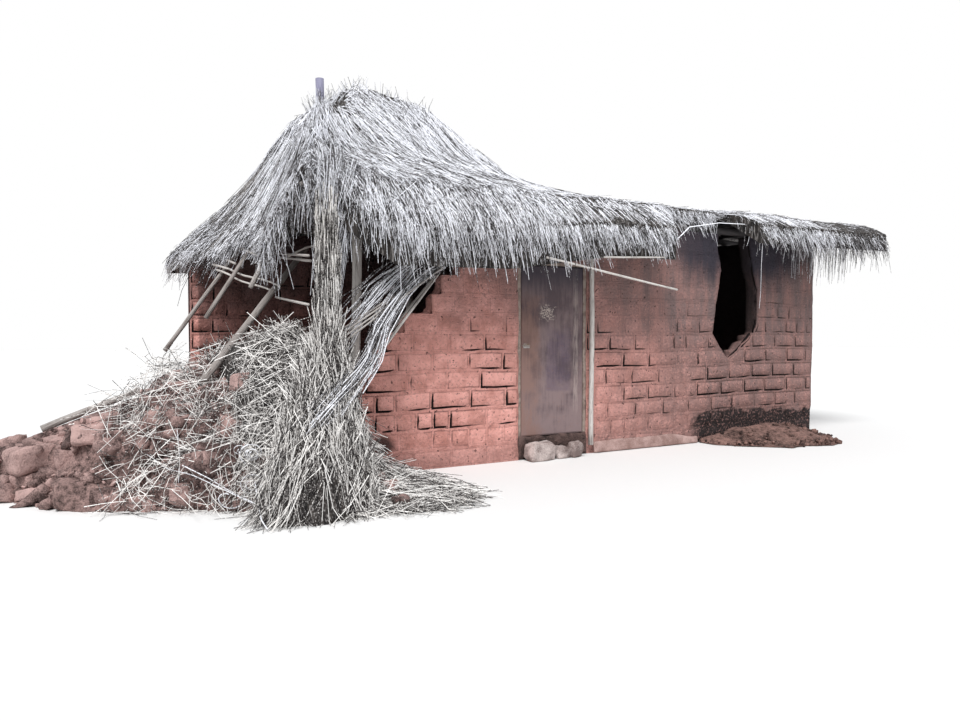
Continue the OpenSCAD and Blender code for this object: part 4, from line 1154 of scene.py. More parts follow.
    def build(self, straw: bpy.types.Material, packed: bpy.types.Material) -> None:
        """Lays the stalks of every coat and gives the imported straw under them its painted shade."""
        for number, ((side, lay), count) in enumerate(self.counts.items()):
            rng = np.random.default_rng(40 + number)
            paths = self.paths(side, lay, count, rng)
            if lay is StrawLay.FRINGE:
                paths = paths[rng.random(count) < np.interp(paths[:, 0, 0], [3.0, 3.5], [1.0, 0.6])]
            x, z = paths[:, 0, 0], paths[:, 0, 2]
            lighter = 0.22 * smooth_step(2.9, 3.5, z) - 0.36 * smooth_step(2.8, 4.1, x)
            lighter -= 0.12 * smooth_step(self.roof.apex_x, self.roof.apex_x - 0.8, x)
            lay_stalks(f"{side.value}_{lay.value}", paths, self.stalk, straw, rng, lighter)
        rng = np.random.default_rng(60)
        lay_stalks("crest_tufts", self.tufts(rng), (0.002, 0.004), straw, rng)
        lay_stalks("eave_wisps", self.wisps(rng), (0.002, 0.0042), straw, rng, -0.12)
        lay_stalks("slid_straw", self.slide(rng), (0.002, 0.0042), straw, rng)
        lay_stalks("corner_tatters", self.tatters(rng), (0.002, 0.0045), straw, rng, -0.05)
        lay_stalks("torn_edge_lath", np.array([self.torn_lath]), (0.008, 0.009), straw, rng, 0.5)
        for side in RoofSide:
            if side in (RoofSide.FRONT, RoofSide.BACK):
                self.worn_body(side.value, packed)
            else:
                dress_node(side.value, packed)

    def worn_body(self, node: str, packed: bpy.types.Material) -> None:
        """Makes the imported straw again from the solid's faces, its top brought down by the wear."""
        verts, tris = cad_arrays(node)
        verts = verts.copy()
        x, y, z = verts.T
        upper = np.clip(1.0 - (self.roof.solid_top(x, y) - z) / 0.06, 0.0, 1.0)
        verts[:, 2] -= upper * self.roof.worn(x)
        body = object_from(f"{node}_body", Shell(verts, np.zeros((0, 4), int), tris), packed, False)
        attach(body, "hut")
        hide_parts(node)


# How far forward and how high or low a stalk may reach.
STRAW_FRONT = -3.26
STRAW_Z = (0.006, 4.2)


def lay_stalks(name: str, paths: Array, radii: tuple[float, float], straw: bpy.types.Material,
               rng: np.random.Generator, lighter: float | Array = 0.0) -> None:
    """Makes one piece of many stalks.

    Args:
        name: name of the piece.
        paths: paths of the stalks.
        radii: thinnest and thickest stalk.
        straw: their finish.
        rng: source of the random numbers.
        lighter: added to the tone of them all.
    """
    count, rings, _ = paths.shape
    paths = paths.copy()
    paths[:, :, 1] = np.maximum(paths[:, :, 1], STRAW_FRONT)
    paths[:, :, 2] = np.clip(paths[:, :, 2], *STRAW_Z)
    middle = paths[:, rings // 2]
    clump = 0.34 * lattice_noise(middle, 0.028, 501) + 0.26 * lattice_noise(middle, 0.11, 502)
    tone = smooth_step(-0.34, 0.34, clump + rng.normal(0.02, 0.42, count) + lighter)
    radius = rng.uniform(*radii, count)[:, None] * np.linspace(1.0, 0.6, rings)[None, :]
    obj = object_from(name, tubes(paths, radius, 3, tone), straw, False)
    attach(obj, "hut")
    log.info("%s: %d stalks", name, count)


def dress_node(node: str, material: bpy.types.Material) -> None:
    """Gives a CAD node its finish."""
    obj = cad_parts[node]
    obj.data.materials.clear()
    obj.data.materials.append(material)


@dataclass
class PoleWork:
    """Every pole, rafter, lath and reed: straight in the solids, crooked and tapered here."""

    nodes: dict[str, tuple[int, float]] = field(default_factory=lambda: {
        "front_plate_pole": (10, 0.3), "back_plate_pole": (10, 0.3), "high_ridge_pole": (10, 0.3),
        "broken_ridge_pole": (10, 0.3), "low_ridge_pole": (10, 0.3), "apex_post": (12, 0.5),
        "ridge_posts": (10, 0.4), "front_rafters": (8, 0.4), "back_rafters": (8, 0.4),
        "hip_rafters": (8, 0.42), "front_laths": (6, 0.5), "back_laths": (6, 0.5), "hip_laths": (6, 0.6),
        "prop_post": (12, 0.75), "reed_bundle": (6, 0.6), "fallen_poles": (10, 0.36),
        "eave_sticks": (6, 1.0), "door_side_pole": (10, 0.9)})

    def path(self, start: Array, end: Array, radius: float, rng: np.random.Generator) -> tuple[Array, Array]:
        """A pole's centre line and radii: a straight line with a small bow, thinner at one end."""
        length = float(np.linalg.norm(end - start))
        rings = int(np.clip(length / 0.16, 6, 34))
        share = np.linspace(0.0, 1.0, rings)
        line = start[None] + (end - start)[None] * share[:, None]
        swing = radius * 0.22
        for axis in range(3):
            wave = lattice_noise(line + axis * 7.3, 0.5, int(rng.integers(1, 9999)))
            line[1:-1, axis] += swing * wave[1:-1]
        knots = 1.0 + 0.06 * lattice_noise(line, 0.12, int(rng.integers(1, 9999)))
        radii = radius * knots * np.linspace(1.0, 0.9, rings) * 0.97
        return line, radii

    def build(self, wood: bpy.types.Material) -> None:
        """Makes one object per node, in place of its straight cylinders."""
        for number, (node, (sides, shade)) in enumerate(self.nodes.items()):
            rng = np.random.default_rng(200 + number)
            shells = []
            for start, end, radius in pole_axes(node):
                line, radii = self.path(start, end, radius, rng)
                shells.append(tubes(line[None], radii[None], sides, shade + rng.normal(0.0, 0.1, 1)))
            obj = object_from(f"{node}_wood", joined(shells), wood, True)
            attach(obj, "hut")
            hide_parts(node)
            log.info("%s: %d poles", node, len(shells))


class WallAxis(Enum):
    """Which way a wall runs."""

    ALONG = 0
    ACROSS = 1


class WorkedFace(Enum):
    """Which faces of a wall get the finely worked surface, as signs along the wall's depth."""

    FRONT = (-1,)
    REAR = (1,)
    BOTH = (-1, 1)


WALL_COVER = 0.042
# How many lines each line of a brick's grid lies in from the nearest border, across and up the brick.
SHEET_ACROSS = (0, 1, 2, 3, 4, 4, 3, 2, 1, 0)
SHEET_UP = (0, 1, 2, 3, 4, 3, 2, 1, 0)


@dataclass
class BrickWall:
    """A wall of one or more nodes: uneven bricks in courses, with joints open in places."""

    name: str
    nodes: tuple[str, ...]
    axis: WallAxis
    faces: WorkedFace
    phase: float
    joint_tops: tuple[tuple[float, ...], tuple[float, ...]]
    seed: int
    course: float = 0.19
    brick: float = 0.40
    bed_half: float = 0.019
    head_half: float = 0.014
    crack_half: float = 0.0135
    crack_depth: float = 0.034
    weak: tuple[tuple[float, float, float, float], ...] = (
        (-3.0, -1.05, 0.34, 1.15), (-0.45, 0.45, 0.6, 1.4), (1.6, 3.7, 0.5, 1.05))
    bodied: bool = True
    cover: float = WALL_COVER
    worn: float = 0.016
    least_open: float = 0.34
    weak_open: float = 0.66

    def box(self) -> tuple[Array, Array]:
        """Lowest and highest corner of the nodes together."""
        corners = np.array([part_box(node) for node in self.nodes])
        return corners[:, 0].min(axis=0), corners[:, 1].max(axis=0)

    def crossings(self, z: float) -> list[tuple[float, float]]:
        """Stretches of the wall at a height, those of neighbouring nodes joined."""
        spans = sorted(span for node in self.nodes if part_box(node)[0][2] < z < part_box(node)[1][2]
                       for span in self._node_crossings(node, z))
        joined_up: list[tuple[float, float]] = []
        for span in spans:
            if joined_up and span[0] - joined_up[-1][1] < 0.02:
                joined_up[-1] = (joined_up[-1][0], max(span[1], joined_up[-1][1]))
            else:
                joined_up.append(span)
        return joined_up

    def _node_crossings(self, node: str, z: float) -> list[tuple[float, float]]:
        """Stretches of one node: it fills the places with an odd number of faces above."""
        verts, tris = cad_arrays(node)
        low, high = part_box(node)
        run, deep = self.axis.value, 1 - self.axis.value
        step = 0.01
        places = np.arange(low[run] + 0.5 * step, high[run], step)
        middle = 0.5 * (low[deep] + high[deep]) + 0.0037
        corner = verts[tris]
        a, b, c = (corner[:, k][:, [run, deep]] for k in range(3))
        area = (b[:, 0] - a[:, 0]) * (c[:, 1] - a[:, 1]) - (c[:, 0] - a[:, 0]) * (b[:, 1] - a[:, 1])
        usable = np.abs(area) > 1e-9
        corner, a, b, c, area = corner[usable], a[usable], b[usable], c[usable], area[usable]
        u = places[:, None]
        s = ((u - a[:, 0]) * (c[:, 1] - a[:, 1]) - (c[:, 0] - a[:, 0]) * (middle - a[:, 1])) / area
        t = ((b[:, 0] - a[:, 0]) * (middle - a[:, 1]) - (u - a[:, 0]) * (b[:, 1] - a[:, 1])) / area
        za, zb, zc = corner[:, 0, 2], corner[:, 1, 2], corner[:, 2, 2]
        level = za + s * (zb - za) + t * (zc - za)
        above = (s >= 0) & (t >= 0) & (s + t <= 1) & (level > z)
        filled = above.sum(axis=1) % 2 == 1
        change = np.flatnonzero(np.diff(np.concatenate([[False], filled, [False]]).astype(int)))
        return [(float(low[run] + i * step), float(min(low[run] + j * step, high[run])))
                for i, j in zip(change[::2], change[1::2])]

    def trimmed(self, layout: Array, z: Array) -> tuple[Array, Array]:
        """Starts and ends of the bricks at each level, following the wall's outline at free ends.

        Args:
            layout: the bricks.
            z: the levels, one row per brick.

        Returns:
            The starts and the ends, shaped like z.
        """
        starts = np.broadcast_to(layout[:, 0:1], z.shape).copy()
        ends = np.broadcast_to(layout[:, 1:2], z.shape).copy()
        known: dict[float, list[tuple[float, float]]] = {}
        low, high = self.box()
        for brick, level in zip(*np.nonzero(np.broadcast_to(layout[:, 4:5] + layout[:, 5:6] > 0, z.shape))):
            height = round(float(np.clip(z[brick, level], low[2] + 0.004, high[2] - 0.004)), 3)
            if height not in known:
                known[height] = self.crossings(height)
            a, b = layout[brick, :2]
            near = [span for span in known[height] if min(span[1], b) - max(span[0], a) > -0.12]
            if not near:
                starts[brick, level] = ends[brick, level] = 0.5 * (a + b)
                continue
            left, right = max(near, key=lambda span: min(span[1], b) - max(span[0], a))
            if layout[brick, 4]:
                starts[brick, level] = min(max(left, a - 0.15), b - 0.02)
            if layout[brick, 5]:
                ends[brick, level] = max(min(right, b + 0.15), starts[brick, level] + 0.01)
        return starts, ends

    def layout(self) -> Array:
        """Bricks in running bond as rows: start, end, bottom, top, and whether each end is free."""
        low, high = self.box()
        rng = np.random.default_rng(self.seed)
        rows: list[tuple[float, ...]] = []
        for row in range(int(math.ceil((high[2] - 0.05) / self.course))):
            z0 = max(row * self.course, low[2])
            z1 = min((row + 1) * self.course, high[2])
            shift = self.phase + 0.5 * self.brick * (row % 2) + rng.normal(0.0, 0.025)
            for left, right in self.crossings(0.5 * (z0 + z1)):
                first = math.floor((left - shift) / self.brick)
                last = math.ceil((right - shift) / self.brick)
                cuts = shift + np.arange(first, last + 1) * self.brick
                cuts = cuts + rng.normal(0.0, 0.016, len(cuts))
                halved = cuts[:-1] + 0.5 * np.diff(cuts)
                cuts = np.sort(np.concatenate([cuts, halved[rng.random(len(halved)) < 0.12]]))
                cuts = cuts[(cuts > left + 0.09) & (cuts < right - 0.09)]
                cuts = np.concatenate([[left], cuts, [right]])
                for k, (a, b) in enumerate(zip(cuts, cuts[1:])):
                    rows.append((a, b, z0, z1, float(k == 0), float(k == len(cuts) - 2)))
        return np.array(rows)

    def coated(self, run: Array, z: Array) -> Array:
        """How far the mud coat hides the bricks at a place: 1 above the open joints, 0 below."""
        points = np.stack([run, np.zeros_like(run), z], axis=-1).reshape(-1, 3)
        wander = lattice_noise(points, 0.45, self.seed + 3).reshape(run.shape)
        top = np.interp(run, *self.joint_tops) + 0.22 * wander
        return smooth_step(-0.2, 0.2, z - top)

    def parted(self, run: Array, z: Array) -> Array:
        """How far the joints have opened at a place: most in the weak patches, little elsewhere."""
        if not self.name.startswith("front"):
            return np.full_like(run, 0.7)
        weak = np.zeros_like(run)
        for x0, x1, z0, z1 in self.weak:
            inside = smooth_step(x0 - 0.15, x0 + 0.15, run) * smooth_step(x1 + 0.15, x1 - 0.15, run)
            inside = inside * smooth_step(z0 - 0.1, z0 + 0.1, z) * smooth_step(z1 + 0.15, z1 - 0.1, z)
            weak = np.maximum(weak, inside)
        return self.least_open + self.weak_open * weak

    def sheet(self, layout: Array, side: int) -> Shell:
        """A worked face: one grid per brick, reaching to the middle of the joints round it.

        Going in from its border a grid has joint, crack and brick. The joint lies 4 mm back, the crack
        as deep as smooth noise says it is open there, and the brick a few millimetres proud. The whole
        is shifted in its plane and bulged by smooth noise of the place on the wall.

        Args:
            layout: the bricks.
            side: sign of the face along the wall's depth.

        Returns:
            The face as closed cells.
        """
        a, b, z0, z1, free0, free1 = layout.T
        v = self._marks(z1 - z0, self.bed_half, (0.5,))
        starts, ends = self.trimmed(layout, z0[:, None] + v)
        u = self._marks(b - a, self.head_half, (0.33, 0.67)) / (b - a)[:, None]
        lines_u, lines_v = len(SHEET_ACROSS), len(SHEET_UP)
        ring = np.minimum(np.array(SHEET_ACROSS)[:, None], np.array(SHEET_UP)[None, :])[None]
        run = starts[:, None, :] + u[:, :, None] * (ends - starts)[:, None, :]
        z = np.broadcast_to((z0[:, None] + v)[:, None, :], run.shape).copy()
        points = np.stack([run, np.full_like(run, side), z], axis=-1).reshape(-1, 3)

        def noise(cell: float, seed: int) -> Array:
            """Smooth noise at the grid's places."""
            return lattice_noise(points, cell, self.seed + seed).reshape(run.shape)

        low, high = self.box()
        axis, deep = self.axis.value, 1 - self.axis.value
        inside = (run > low[axis] + 0.02) & (run < high[axis] - 0.02)
        coat = self.coated(run, z)
        parted = self.parted(run, z)
        column, row = np.arange(lines_u)[:, None], np.arange(lines_v)[None]
        wander = noise(0.45, 5) + 0.3 * noise(0.12, 6) + 0.4 * (parted - self.least_open)
        open_joint = smooth_step(-0.3, 0.15, wander) * parted
        beds = smooth_step(-0.25, 0.15, noise(0.33, 15) + 0.35 * (parted - self.least_open))
        open_joint = np.where((row < 3) & (column > 2), open_joint * beds, open_joint)
        open_joint = open_joint * (1.0 - 0.92 * coat) * smooth_step(0.15, 0.42, z)
        open_joint = 0.1 + 0.9 * open_joint * np.where((column > 5) | (row > 4), 0.1, 1.0)
        rng = np.random.default_rng(self.seed + 9)
        proud = rng.normal(0.0, 0.003, len(a))[:, None, None]
        level = np.select(
            [ring <= 1, ring == 2, ring == 3],
            [np.full_like(run, -0.004), -0.006 - self.crack_depth * open_joint, -0.001 + proud],
            0.002 + proud)
        level = level * (1.0 - 0.9 * coat)
        level += 0.010 * noise(0.6, 7) + 0.005 * noise(0.13, 8) + 0.0022 * noise(0.04, 10)
        if self.name.startswith("front"):
            level -= self.worn * (smooth_step(1.15, 1.4, run) * smooth_step(0.36, 0.30, z))
        level[:, 0] -= self.worn * free0[:, None]
        level[:, -1] -= self.worn * free1[:, None]
        run += np.where(inside, 0.010 * noise(0.17, 11) + 0.004 * noise(0.05, 12), 0.0)
        sway = 0.016 * noise(0.9, 13) + 0.008 * noise(0.16, 14)
        z += np.where((z > low[2] + 0.03) & (z < high[2] - 0.03), sway, 0.0)
        face = low[deep] if side < 0 else high[deep]
        place = np.empty(run.shape + (3,))
        place[..., axis], place[..., deep], place[..., 2] = run, face + side * level, z
        tone = np.where(ring >= 3, rng.random(len(a))[:, None, None], 0.42)
        crack = np.where(ring == 2, open_joint, 0.0)
        rear = place.reshape(len(a), -1, 3)[:, grid_corners(lines_u, lines_v)]
        rear[..., deep] = face - side * (self.cover - 0.002)
        quads, tris = self._faces(len(a), lines_u, lines_v, flip=(side > 0) == (axis == 0))
        blank = np.zeros(rear.shape[:2])
        tone = np.concatenate([np.broadcast_to(tone, run.shape).reshape(len(a), -1), blank], axis=1)
        grain = np.stack([crack, coat], axis=-1).reshape(len(a), -1, 2)
        grain = np.concatenate([grain, np.stack([blank + 1.0, blank], axis=-1)], axis=1)
        verts = np.concatenate([place.reshape(len(a), -1, 3), rear], axis=1)
        return Shell(verts.reshape(-1, 3), quads, tris, tone.reshape(-1), grain.reshape(-1, 2))

    def _marks(self, size: Array, margin: float, inner: tuple[float, ...]) -> Array:
        """Places of the grid lines across each brick: border, joint's edge, crack, brick, middle."""
        near = np.array([0.0, margin - self.crack_half, margin, margin + self.crack_half])
        near = np.broadcast_to(near, (len(size), 4))
        return np.concatenate([near, size[:, None] * np.array(inner), size[:, None] - near[:, ::-1]], axis=1)

    @staticmethod
    def _faces(count: int, rows: int, cols: int, flip: bool) -> tuple[Array, Array]:
        """Quads of many grids with a rim round each, and a fan of triangles that closes it behind."""
        quad = grid_quads(rows, cols)
        loop = border_loop(rows, cols)
        following = np.roll(loop, -1)
        corners = grid_corners(rows, cols)
        rear = rows * cols + np.arange(4)
        place_in_loop = np.array([int(np.flatnonzero(loop == corner)[0]) for corner in corners])
        order = np.argsort(place_in_loop)
        owner = rear[order][np.searchsorted(place_in_loop[order], np.arange(len(loop)), side="right") - 1]
        fan = np.stack([loop, owner, following], axis=-1)
        ahead = np.roll(rear[order], -1)
        closing = np.stack([np.roll(corners[order], -1), rear[order], ahead], axis=-1)
        back = np.array([[rear[order][0], rear[order][2], rear[order][1]],
                         [rear[order][0], rear[order][3], rear[order][2]]])
        fan = np.concatenate([fan, closing, back])
        if flip:
            quad, fan = quad[:, ::-1], fan[:, ::-1]
        start = (np.arange(count) * (rows * cols + 4))[:, None, None]
        return (quad[None] + start).reshape(-1, 4), (fan[None] + start).reshape(-1, 3)

    def bricks(self, layout: Array) -> Shell:
        """The bodies of the bricks at the wall's free ends, behind the worked faces."""
        layout = layout[layout[:, 4] + layout[:, 5] > 0]
        low, high = self.box()
        axis, deep = self.axis.value, 1 - self.axis.value
        count = len(layout)
        near = low[deep] + (self.cover if -1 in self.faces.value else 0.002)
        far = high[deep] - (self.cover if 1 in self.faces.value else 0.002)
        centres, halves = np.empty((count, 3)), np.empty((count, 3))
        centres[:, axis] = 0.5 * (layout[:, 0] + layout[:, 1])
        centres[:, deep] = 0.5 * (near + far)
        centres[:, 2] = 0.5 * (layout[:, 2] + layout[:, 3])
        halves[:, axis] = 0.5 * (layout[:, 1] - layout[:, 0]) - self.head_half
        halves[:, deep] = 0.5 * (far - near)
        halves[:, 2] = 0.5 * (layout[:, 3] - layout[:, 2]) - self.bed_half
        steps = BRICK_STEPS if axis == 0 else (BRICK_STEPS[1], BRICK_STEPS[0], BRICK_STEPS[2])
        return blocks(centres, halves, turned(np.zeros((count, 3))), np.full(count, 0.024), 0.006,
                      self.seed, steps)

    def build(self, mud: bpy.types.Material) -> None:
        """Makes the worked faces and the bodies of the bricks at the free ends."""
        layout = self.layout()
        shells = {"bricks": self.bricks(layout)} if self.bodied else {}
        for side in self.faces.value:
            shells["near_face" if side < 0 else "far_face"] = self.sheet(layout, side)
        for part, shell in shells.items():
            obj = object_from(f"{self.name}_{part}", shell, mud, True)
            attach(obj, "hut")
        log.info("%s: %d bricks", self.name, len(layout))


@dataclass(frozen=True)
class WallBed:
    """The mud body of one wall node: its solid cut into small faces and sunk behind the worked faces."""

    node: str
    axis: WallAxis
    faces: WorkedFace
    voxel: float

    def build(self, mud: bpy.types.Material) -> None:
        """Makes the bed in place of the node."""
        verts, faces = remeshed(self.node, self.voxel)
        axis, deep = self.axis.value, 1 - self.axis.value
        low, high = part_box(self.node)
        verts = verts.copy()
        fine = lattice_noise(verts, 0.07, 4)
        for side in (-1, 1):
            face = low[deep] if side < 0 else high[deep]
            sunk = WALL_COVER + 0.004 if side in self.faces.value else 0.012
            near = np.abs(verts[:, deep] - face) < 0.4 * self.voxel
            verts[near, deep] = face - side * (sunk + 0.003 * fine[near])
        verts[:, axis] = np.clip(verts[:, axis], low[axis] + 0.004, high[axis] - 0.004)
        verts[:, 2] = np.clip(verts[:, 2], low[2], high[2])
        shell = Shell(verts, faces, tone=np.full(len(verts), 0.42), grain=np.zeros((len(verts), 2)))
        obj = object_from(f"{self.node}_bed", shell, mud, True)
        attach(obj, "hut")
        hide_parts(self.node)


def remeshed(node: str, voxel: float, soften: int = 0) -> tuple[Array, Array]:
    """A CAD node's solid as small, even quads.

    Args:
        node: name of the node.
        voxel: edge of a quad.
        soften: how often the points are moved halfway to their neighbours' middle.

    Returns:
        Vertices and quads.
    """
    verts, tris = cad_arrays(node)
    mesh = bpy.data.meshes.new("scratch")
    mesh.from_pydata(verts.tolist(), [], tris.tolist())
    obj = bpy.data.objects.new("scratch", mesh)
    bpy.context.scene.collection.objects.link(obj)
    modifier = obj.modifiers.new("even", "REMESH")
    modifier.mode = "VOXEL"
    modifier.voxel_size = voxel
    if soften:
        smooth = obj.modifiers.new("soft", "SMOOTH")
        smooth.iterations = soften
    baked = obj.evaluated_get(bpy.context.evaluated_depsgraph_get()).to_mesh()
    points = np.empty(len(baked.vertices) * 3, dtype=np.float32)
    baked.vertices.foreach_get("co", points)
    corners = np.empty(len(baked.loops), dtype=np.int32)
    baked.loops.foreach_get("vertex_index", corners)
    quads = corners.reshape(-1, 4).astype(np.int64)
    obj.to_mesh_clear()
    bpy.data.objects.remove(obj)
    bpy.data.meshes.remove(mesh)
    return points.reshape(-1, 3).astype(float), quads


@dataclass(frozen=True)
class Debris:
    """One lot of debris: how many, least and largest half sizes, unevenness, rounding, tilt and cuts."""

    name: str
    count: int
    low: Point
    high: Point
    rough: float
    rounding: float
    tilt: float
    steps: Steps


# How much slimmer the hanging straw is than its solid, and between which heights it narrows.
SLIMMER, SLIMMER_Z = 0.36, (0.7, 1.3)
# How much lower the mound's right side is than its solid, and between which places it falls.
LOWER, LOWER_X = 0.72, (-3.05, -2.72)
# The slope under the fallen log: its height at a place along X, and how it rises along X and Y.
FLANK_Z, FLANK_X, FLANK_RISE = 0.40, -5.26, (0.36, -0.117)


def settled(node: str, points: Array) -> Array:
    """Places of a straw node's surface once settled: a slim column, and a mound that is low on its right."""
    points = points.copy()
    if node == "hanging_straw":
        middle = np.interp(points[:, 2], *HANGING_LINE)
        slim = 1.0 - SLIMMER * smooth_step(*SLIMMER_Z, points[:, 2])
        points[:, 0] = middle + (points[:, 0] - middle) * slim
    else:
        points[:, 2] *= 1.0 - LOWER * smooth_step(*LOWER_X, points[:, 0])
    return points


def under_log(points: Array, margin: float | Array = 0.0) -> Array:
    """Points of the heap's left flank, brought down to the slope on which the fallen log lies open."""
    points = points.copy()
    slope = FLANK_Z + FLANK_RISE[0] * (points[:, 0] - FLANK_X) + FLANK_RISE[1] * points[:, 1] - margin
    flank = smooth_step(-4.12, -4.4, points[:, 0]) * smooth_step(-1.6, -1.3, points[:, 1])
    points[:, 2] -= np.maximum(points[:, 2] - slope, 0.0) * flank
    return points


@dataclass
class FallenEnd:
    """Rubble of the fallen end wall and the straw that came down with it.

    The large blocks are rows of place, half width, half height and tone.
    """

    large: tuple[tuple[float, float, float, float, float, float], ...] = (
        (-5.38, -1.06, 0.33, 0.165, 0.105, 0.80), (-5.11, -1.18, 0.32, 0.100, 0.091, 0.70),
        (-4.97, -1.37, 0.53, 0.125, 0.080, 0.90), (-4.73, -1.03, 0.60, 0.150, 0.060, 0.90),
        (-4.85, -1.52, 0.49, 0.096, 0.078, 0.60), (-4.49, -1.07, 0.80, 0.075, 0.065, 0.60),
        (-4.28, -1.18, 0.85, 0.083, 0.074, 0.80), (-4.48, -1.45, 0.64, 0.089, 0.071, 1.00),
        (-4.55, -1.76, 0.44, 0.126, 0.101, 0.15), (-4.07, -1.50, 0.78, 0.097, 0.089, 0.30),
        (-3.86, -1.76, 0.93, 0.095, 0.077, 0.95), (-3.95, -1.88, 0.57, 0.143, 0.092, 0.95),
        (-4.14, -2.10, 0.36, 0.177, 0.137, 0.10), (-4.33, -2.05, 0.12, 0.176, 0.130, 0.20),
        (-4.89, -1.80, 0.09, 0.108, 0.075, 0.15), (-5.41, -1.05, 0.15, 0.112, 0.065, 0.70),
        (-5.26, -1.21, 0.20, 0.073, 0.055, 0.25), (-4.69, -1.93, 0.07, 0.066, 0.041, 1.00),
        (-5.16, -0.92, 0.42, 0.143, 0.060, 0.80), (-5.52, 0.18, 0.29, 0.110, 0.080, 0.70),
        (-2.98, -2.93, 0.055, 0.060, 0.050, 0.30))

    debris: tuple[Debris, ...] = (
        Debris("bricks", 150, (0.06, 0.05, 0.04), (0.18, 0.10, 0.075), 0.015, 0.22, 0.35, BRICK_STEPS),
        Debris("clods", 680, (0.018, 0.018, 0.014), (0.075, 0.06, 0.05), 0.012, 0.4, 0.6, CLOD_STEPS),
        Debris("crumbs", 2300, (0.006, 0.006, 0.005), (0.022, 0.02, 0.016), 0.004, 0.5, 1.0, CRUMB_STEPS))
    mound_stalks: int = 5600
    hanging_stalks: int = 3800
    strewn_clumps: int = 300
    clump: int = 8
    heap_voxel: float = 0.055
    straw_voxel: float = 0.07
    down: Point = (-0.12, -0.38, -0.92)
    strewn_x: tuple[float, float] = (-5.05, -3.5)
    strewn_back: float = 0.1
    front_y: float = -0.8
    front_x: float = -4.0
    gap_middle: Point = (-3.60, -2.85, 0.15)
    gap_half: tuple[float, float] = (0.16, 0.11)
    pole_room: float = 0.3
    log_room: float = 0.13

    def rubble(self, brick: bpy.types.Material, soil: bpy.types.Material) -> None:
        """Heap: a lumpy body with broken bricks, clods and crumbs bedded in it."""
        verts, quads = remeshed("rubble_heap", self.heap_voxel)
        lumps = (lattice_noise(verts, 0.24, 71) * 0.022 + lattice_noise(verts, 0.1, 72) * 0.014
                 + lattice_noise(verts, 0.045, 75) * 0.006)
        verts = verts.copy()
        top = verts[:, 2] > 0.03
        verts[top, 2] += lumps[top] - 0.012
        verts = under_log(verts, 0.015)
        verts[:, 2] = np.maximum(verts[:, 2], 0.0)
        heap = object_from("rubble_heap_soil", Shell(verts, quads, tone=0.5 + lumps * 10), soil, True)
        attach(heap, "hut")
        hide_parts("rubble_heap")
        rng = np.random.default_rng(73)
        for lot in self.debris:
            place, normal = scattered("rubble_heap", lot.count, rng, 0.15)
            half = rng.uniform(lot.low, lot.high, (lot.count, 3))
            angle = rng.normal(0.0, lot.tilt, (lot.count, 3))
            angle[:, 2] = rng.uniform(0, 2 * np.pi, lot.count)
            place = place + normal * half[:, 2:3] * rng.uniform(-0.5, 0.35, (lot.count, 1))
            place = under_log(place, half[:, 2] * 0.7)
            place[:, 2] = np.maximum(place[:, 2], half[:, 2] * 0.8)
            edge = half.min(axis=1) * lot.rounding
            shell = blocks(place, half, turned(angle), edge, lot.rough, 74, lot.steps)
            shell.verts = under_log(shell.verts, -0.02)
            shell.verts[:, 2] = np.maximum(shell.verts[:, 2], 0.001)
            obj = object_from(f"rubble_heap_{lot.name}", shell, brick, lot.steps is not CRUMB_STEPS)
            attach(obj, "hut")
            log.info("rubble %s: %d", lot.name, lot.count)
        block = np.array(self.large)
        half = block[:, [3, 3, 4]] * np.array([1.0, 0.75, 1.0])
        angle = rng.normal(0.0, 0.16, (len(block), 3)) * np.array([1.0, 1.0, 2.5])
        place = block[:, :3] + np.array([0.0, 0.5, -0.15]) * half
        shell = blocks(place, half, turned(angle), half.min(axis=1) * 0.3, 0.016, 77, LARGE_STEPS)
        shell.tone = np.repeat(block[:, 5], len(shell.verts) // len(block))
        shell.verts[:, 2] = np.maximum(shell.verts[:, 2], 0.001)
        obj = object_from("rubble_heap_large_blocks", shell, brick, True)
        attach(obj, "hut")

    def loose(self, node: str, count: int, straw: bpy.types.Material, along: Array | None, seed: int,
              radii: tuple[float, float] = (0.0018, 0.0042)) -> None:
        """Loose stalks on a node, lying any way down its slopes or mostly along one direction."""
        rng = np.random.default_rng(seed)
        place, normal = scattered(node, count, rng, -0.6)
        place = settled(node, place)
        low = smooth_step(*LOWER_X, place[:, 0:1]) if node == "straw_mound" else np.zeros((count, 1))
        normal = unit(normal + np.array([[0.0, 0.0, 1.6]]) * low)
        wild = rng.normal(0.0, 1.0, (count, 3))
        lie = along_surface(wild, normal)
        slope = unit(np.array([0.0, 0.0, -1.0]) + normal * normal[:, 2:3])
        length = rng.uniform(0.18, 0.6, count)[:, None]
        bow = rng.normal(0.0, 0.05, count)[:, None]
        lift = rng.uniform(-0.02, 0.04, count)[:, None]
        if along is None:
            lie = unit(lie * 0.8 + slope * 0.55)
        else:
            calm = smooth_step(0.9, 1.5, place[:, 2:3])
            spread = (place[:, 0:1] + 3.45) * smooth_step(1.0, 0.4, place[:, 2:3])
            swept = lie * rng.uniform(0.05, 0.75, (count, 1)) * (1.0 - 0.8 * calm)
            swept = swept + along[None] * (1.0 - calm)
            lie = unit(swept + np.array([[0.0, 0.0, -1.0]]) * calm + np.array([[0.8, 0.0, 0.0]]) * spread)
            bow, lift = bow * (1.0 - 0.7 * calm), lift * (1.0 - 0.8 * calm)
        share = np.linspace(-0.5, 0.5, 2 if along is None else 3)
        paths = np.stack([place + lie * length * s + normal * (lift + bow * (s * s * 4 - 0.5))
                          for s in share], axis=1)
        if node == "straw_mound":
            paths = paths[off_pole(paths.mean(axis=1, keepdims=True), longest_fallen_pole(), self.pole_room)]
            paths = paths[off_pole(paths, leftmost_fallen_pole(), self.log_room)]
        else:
            x, y, z = (paths[..., axis] for axis in range(3))
            gap_x, gap_y, gap_z = self.gap_middle
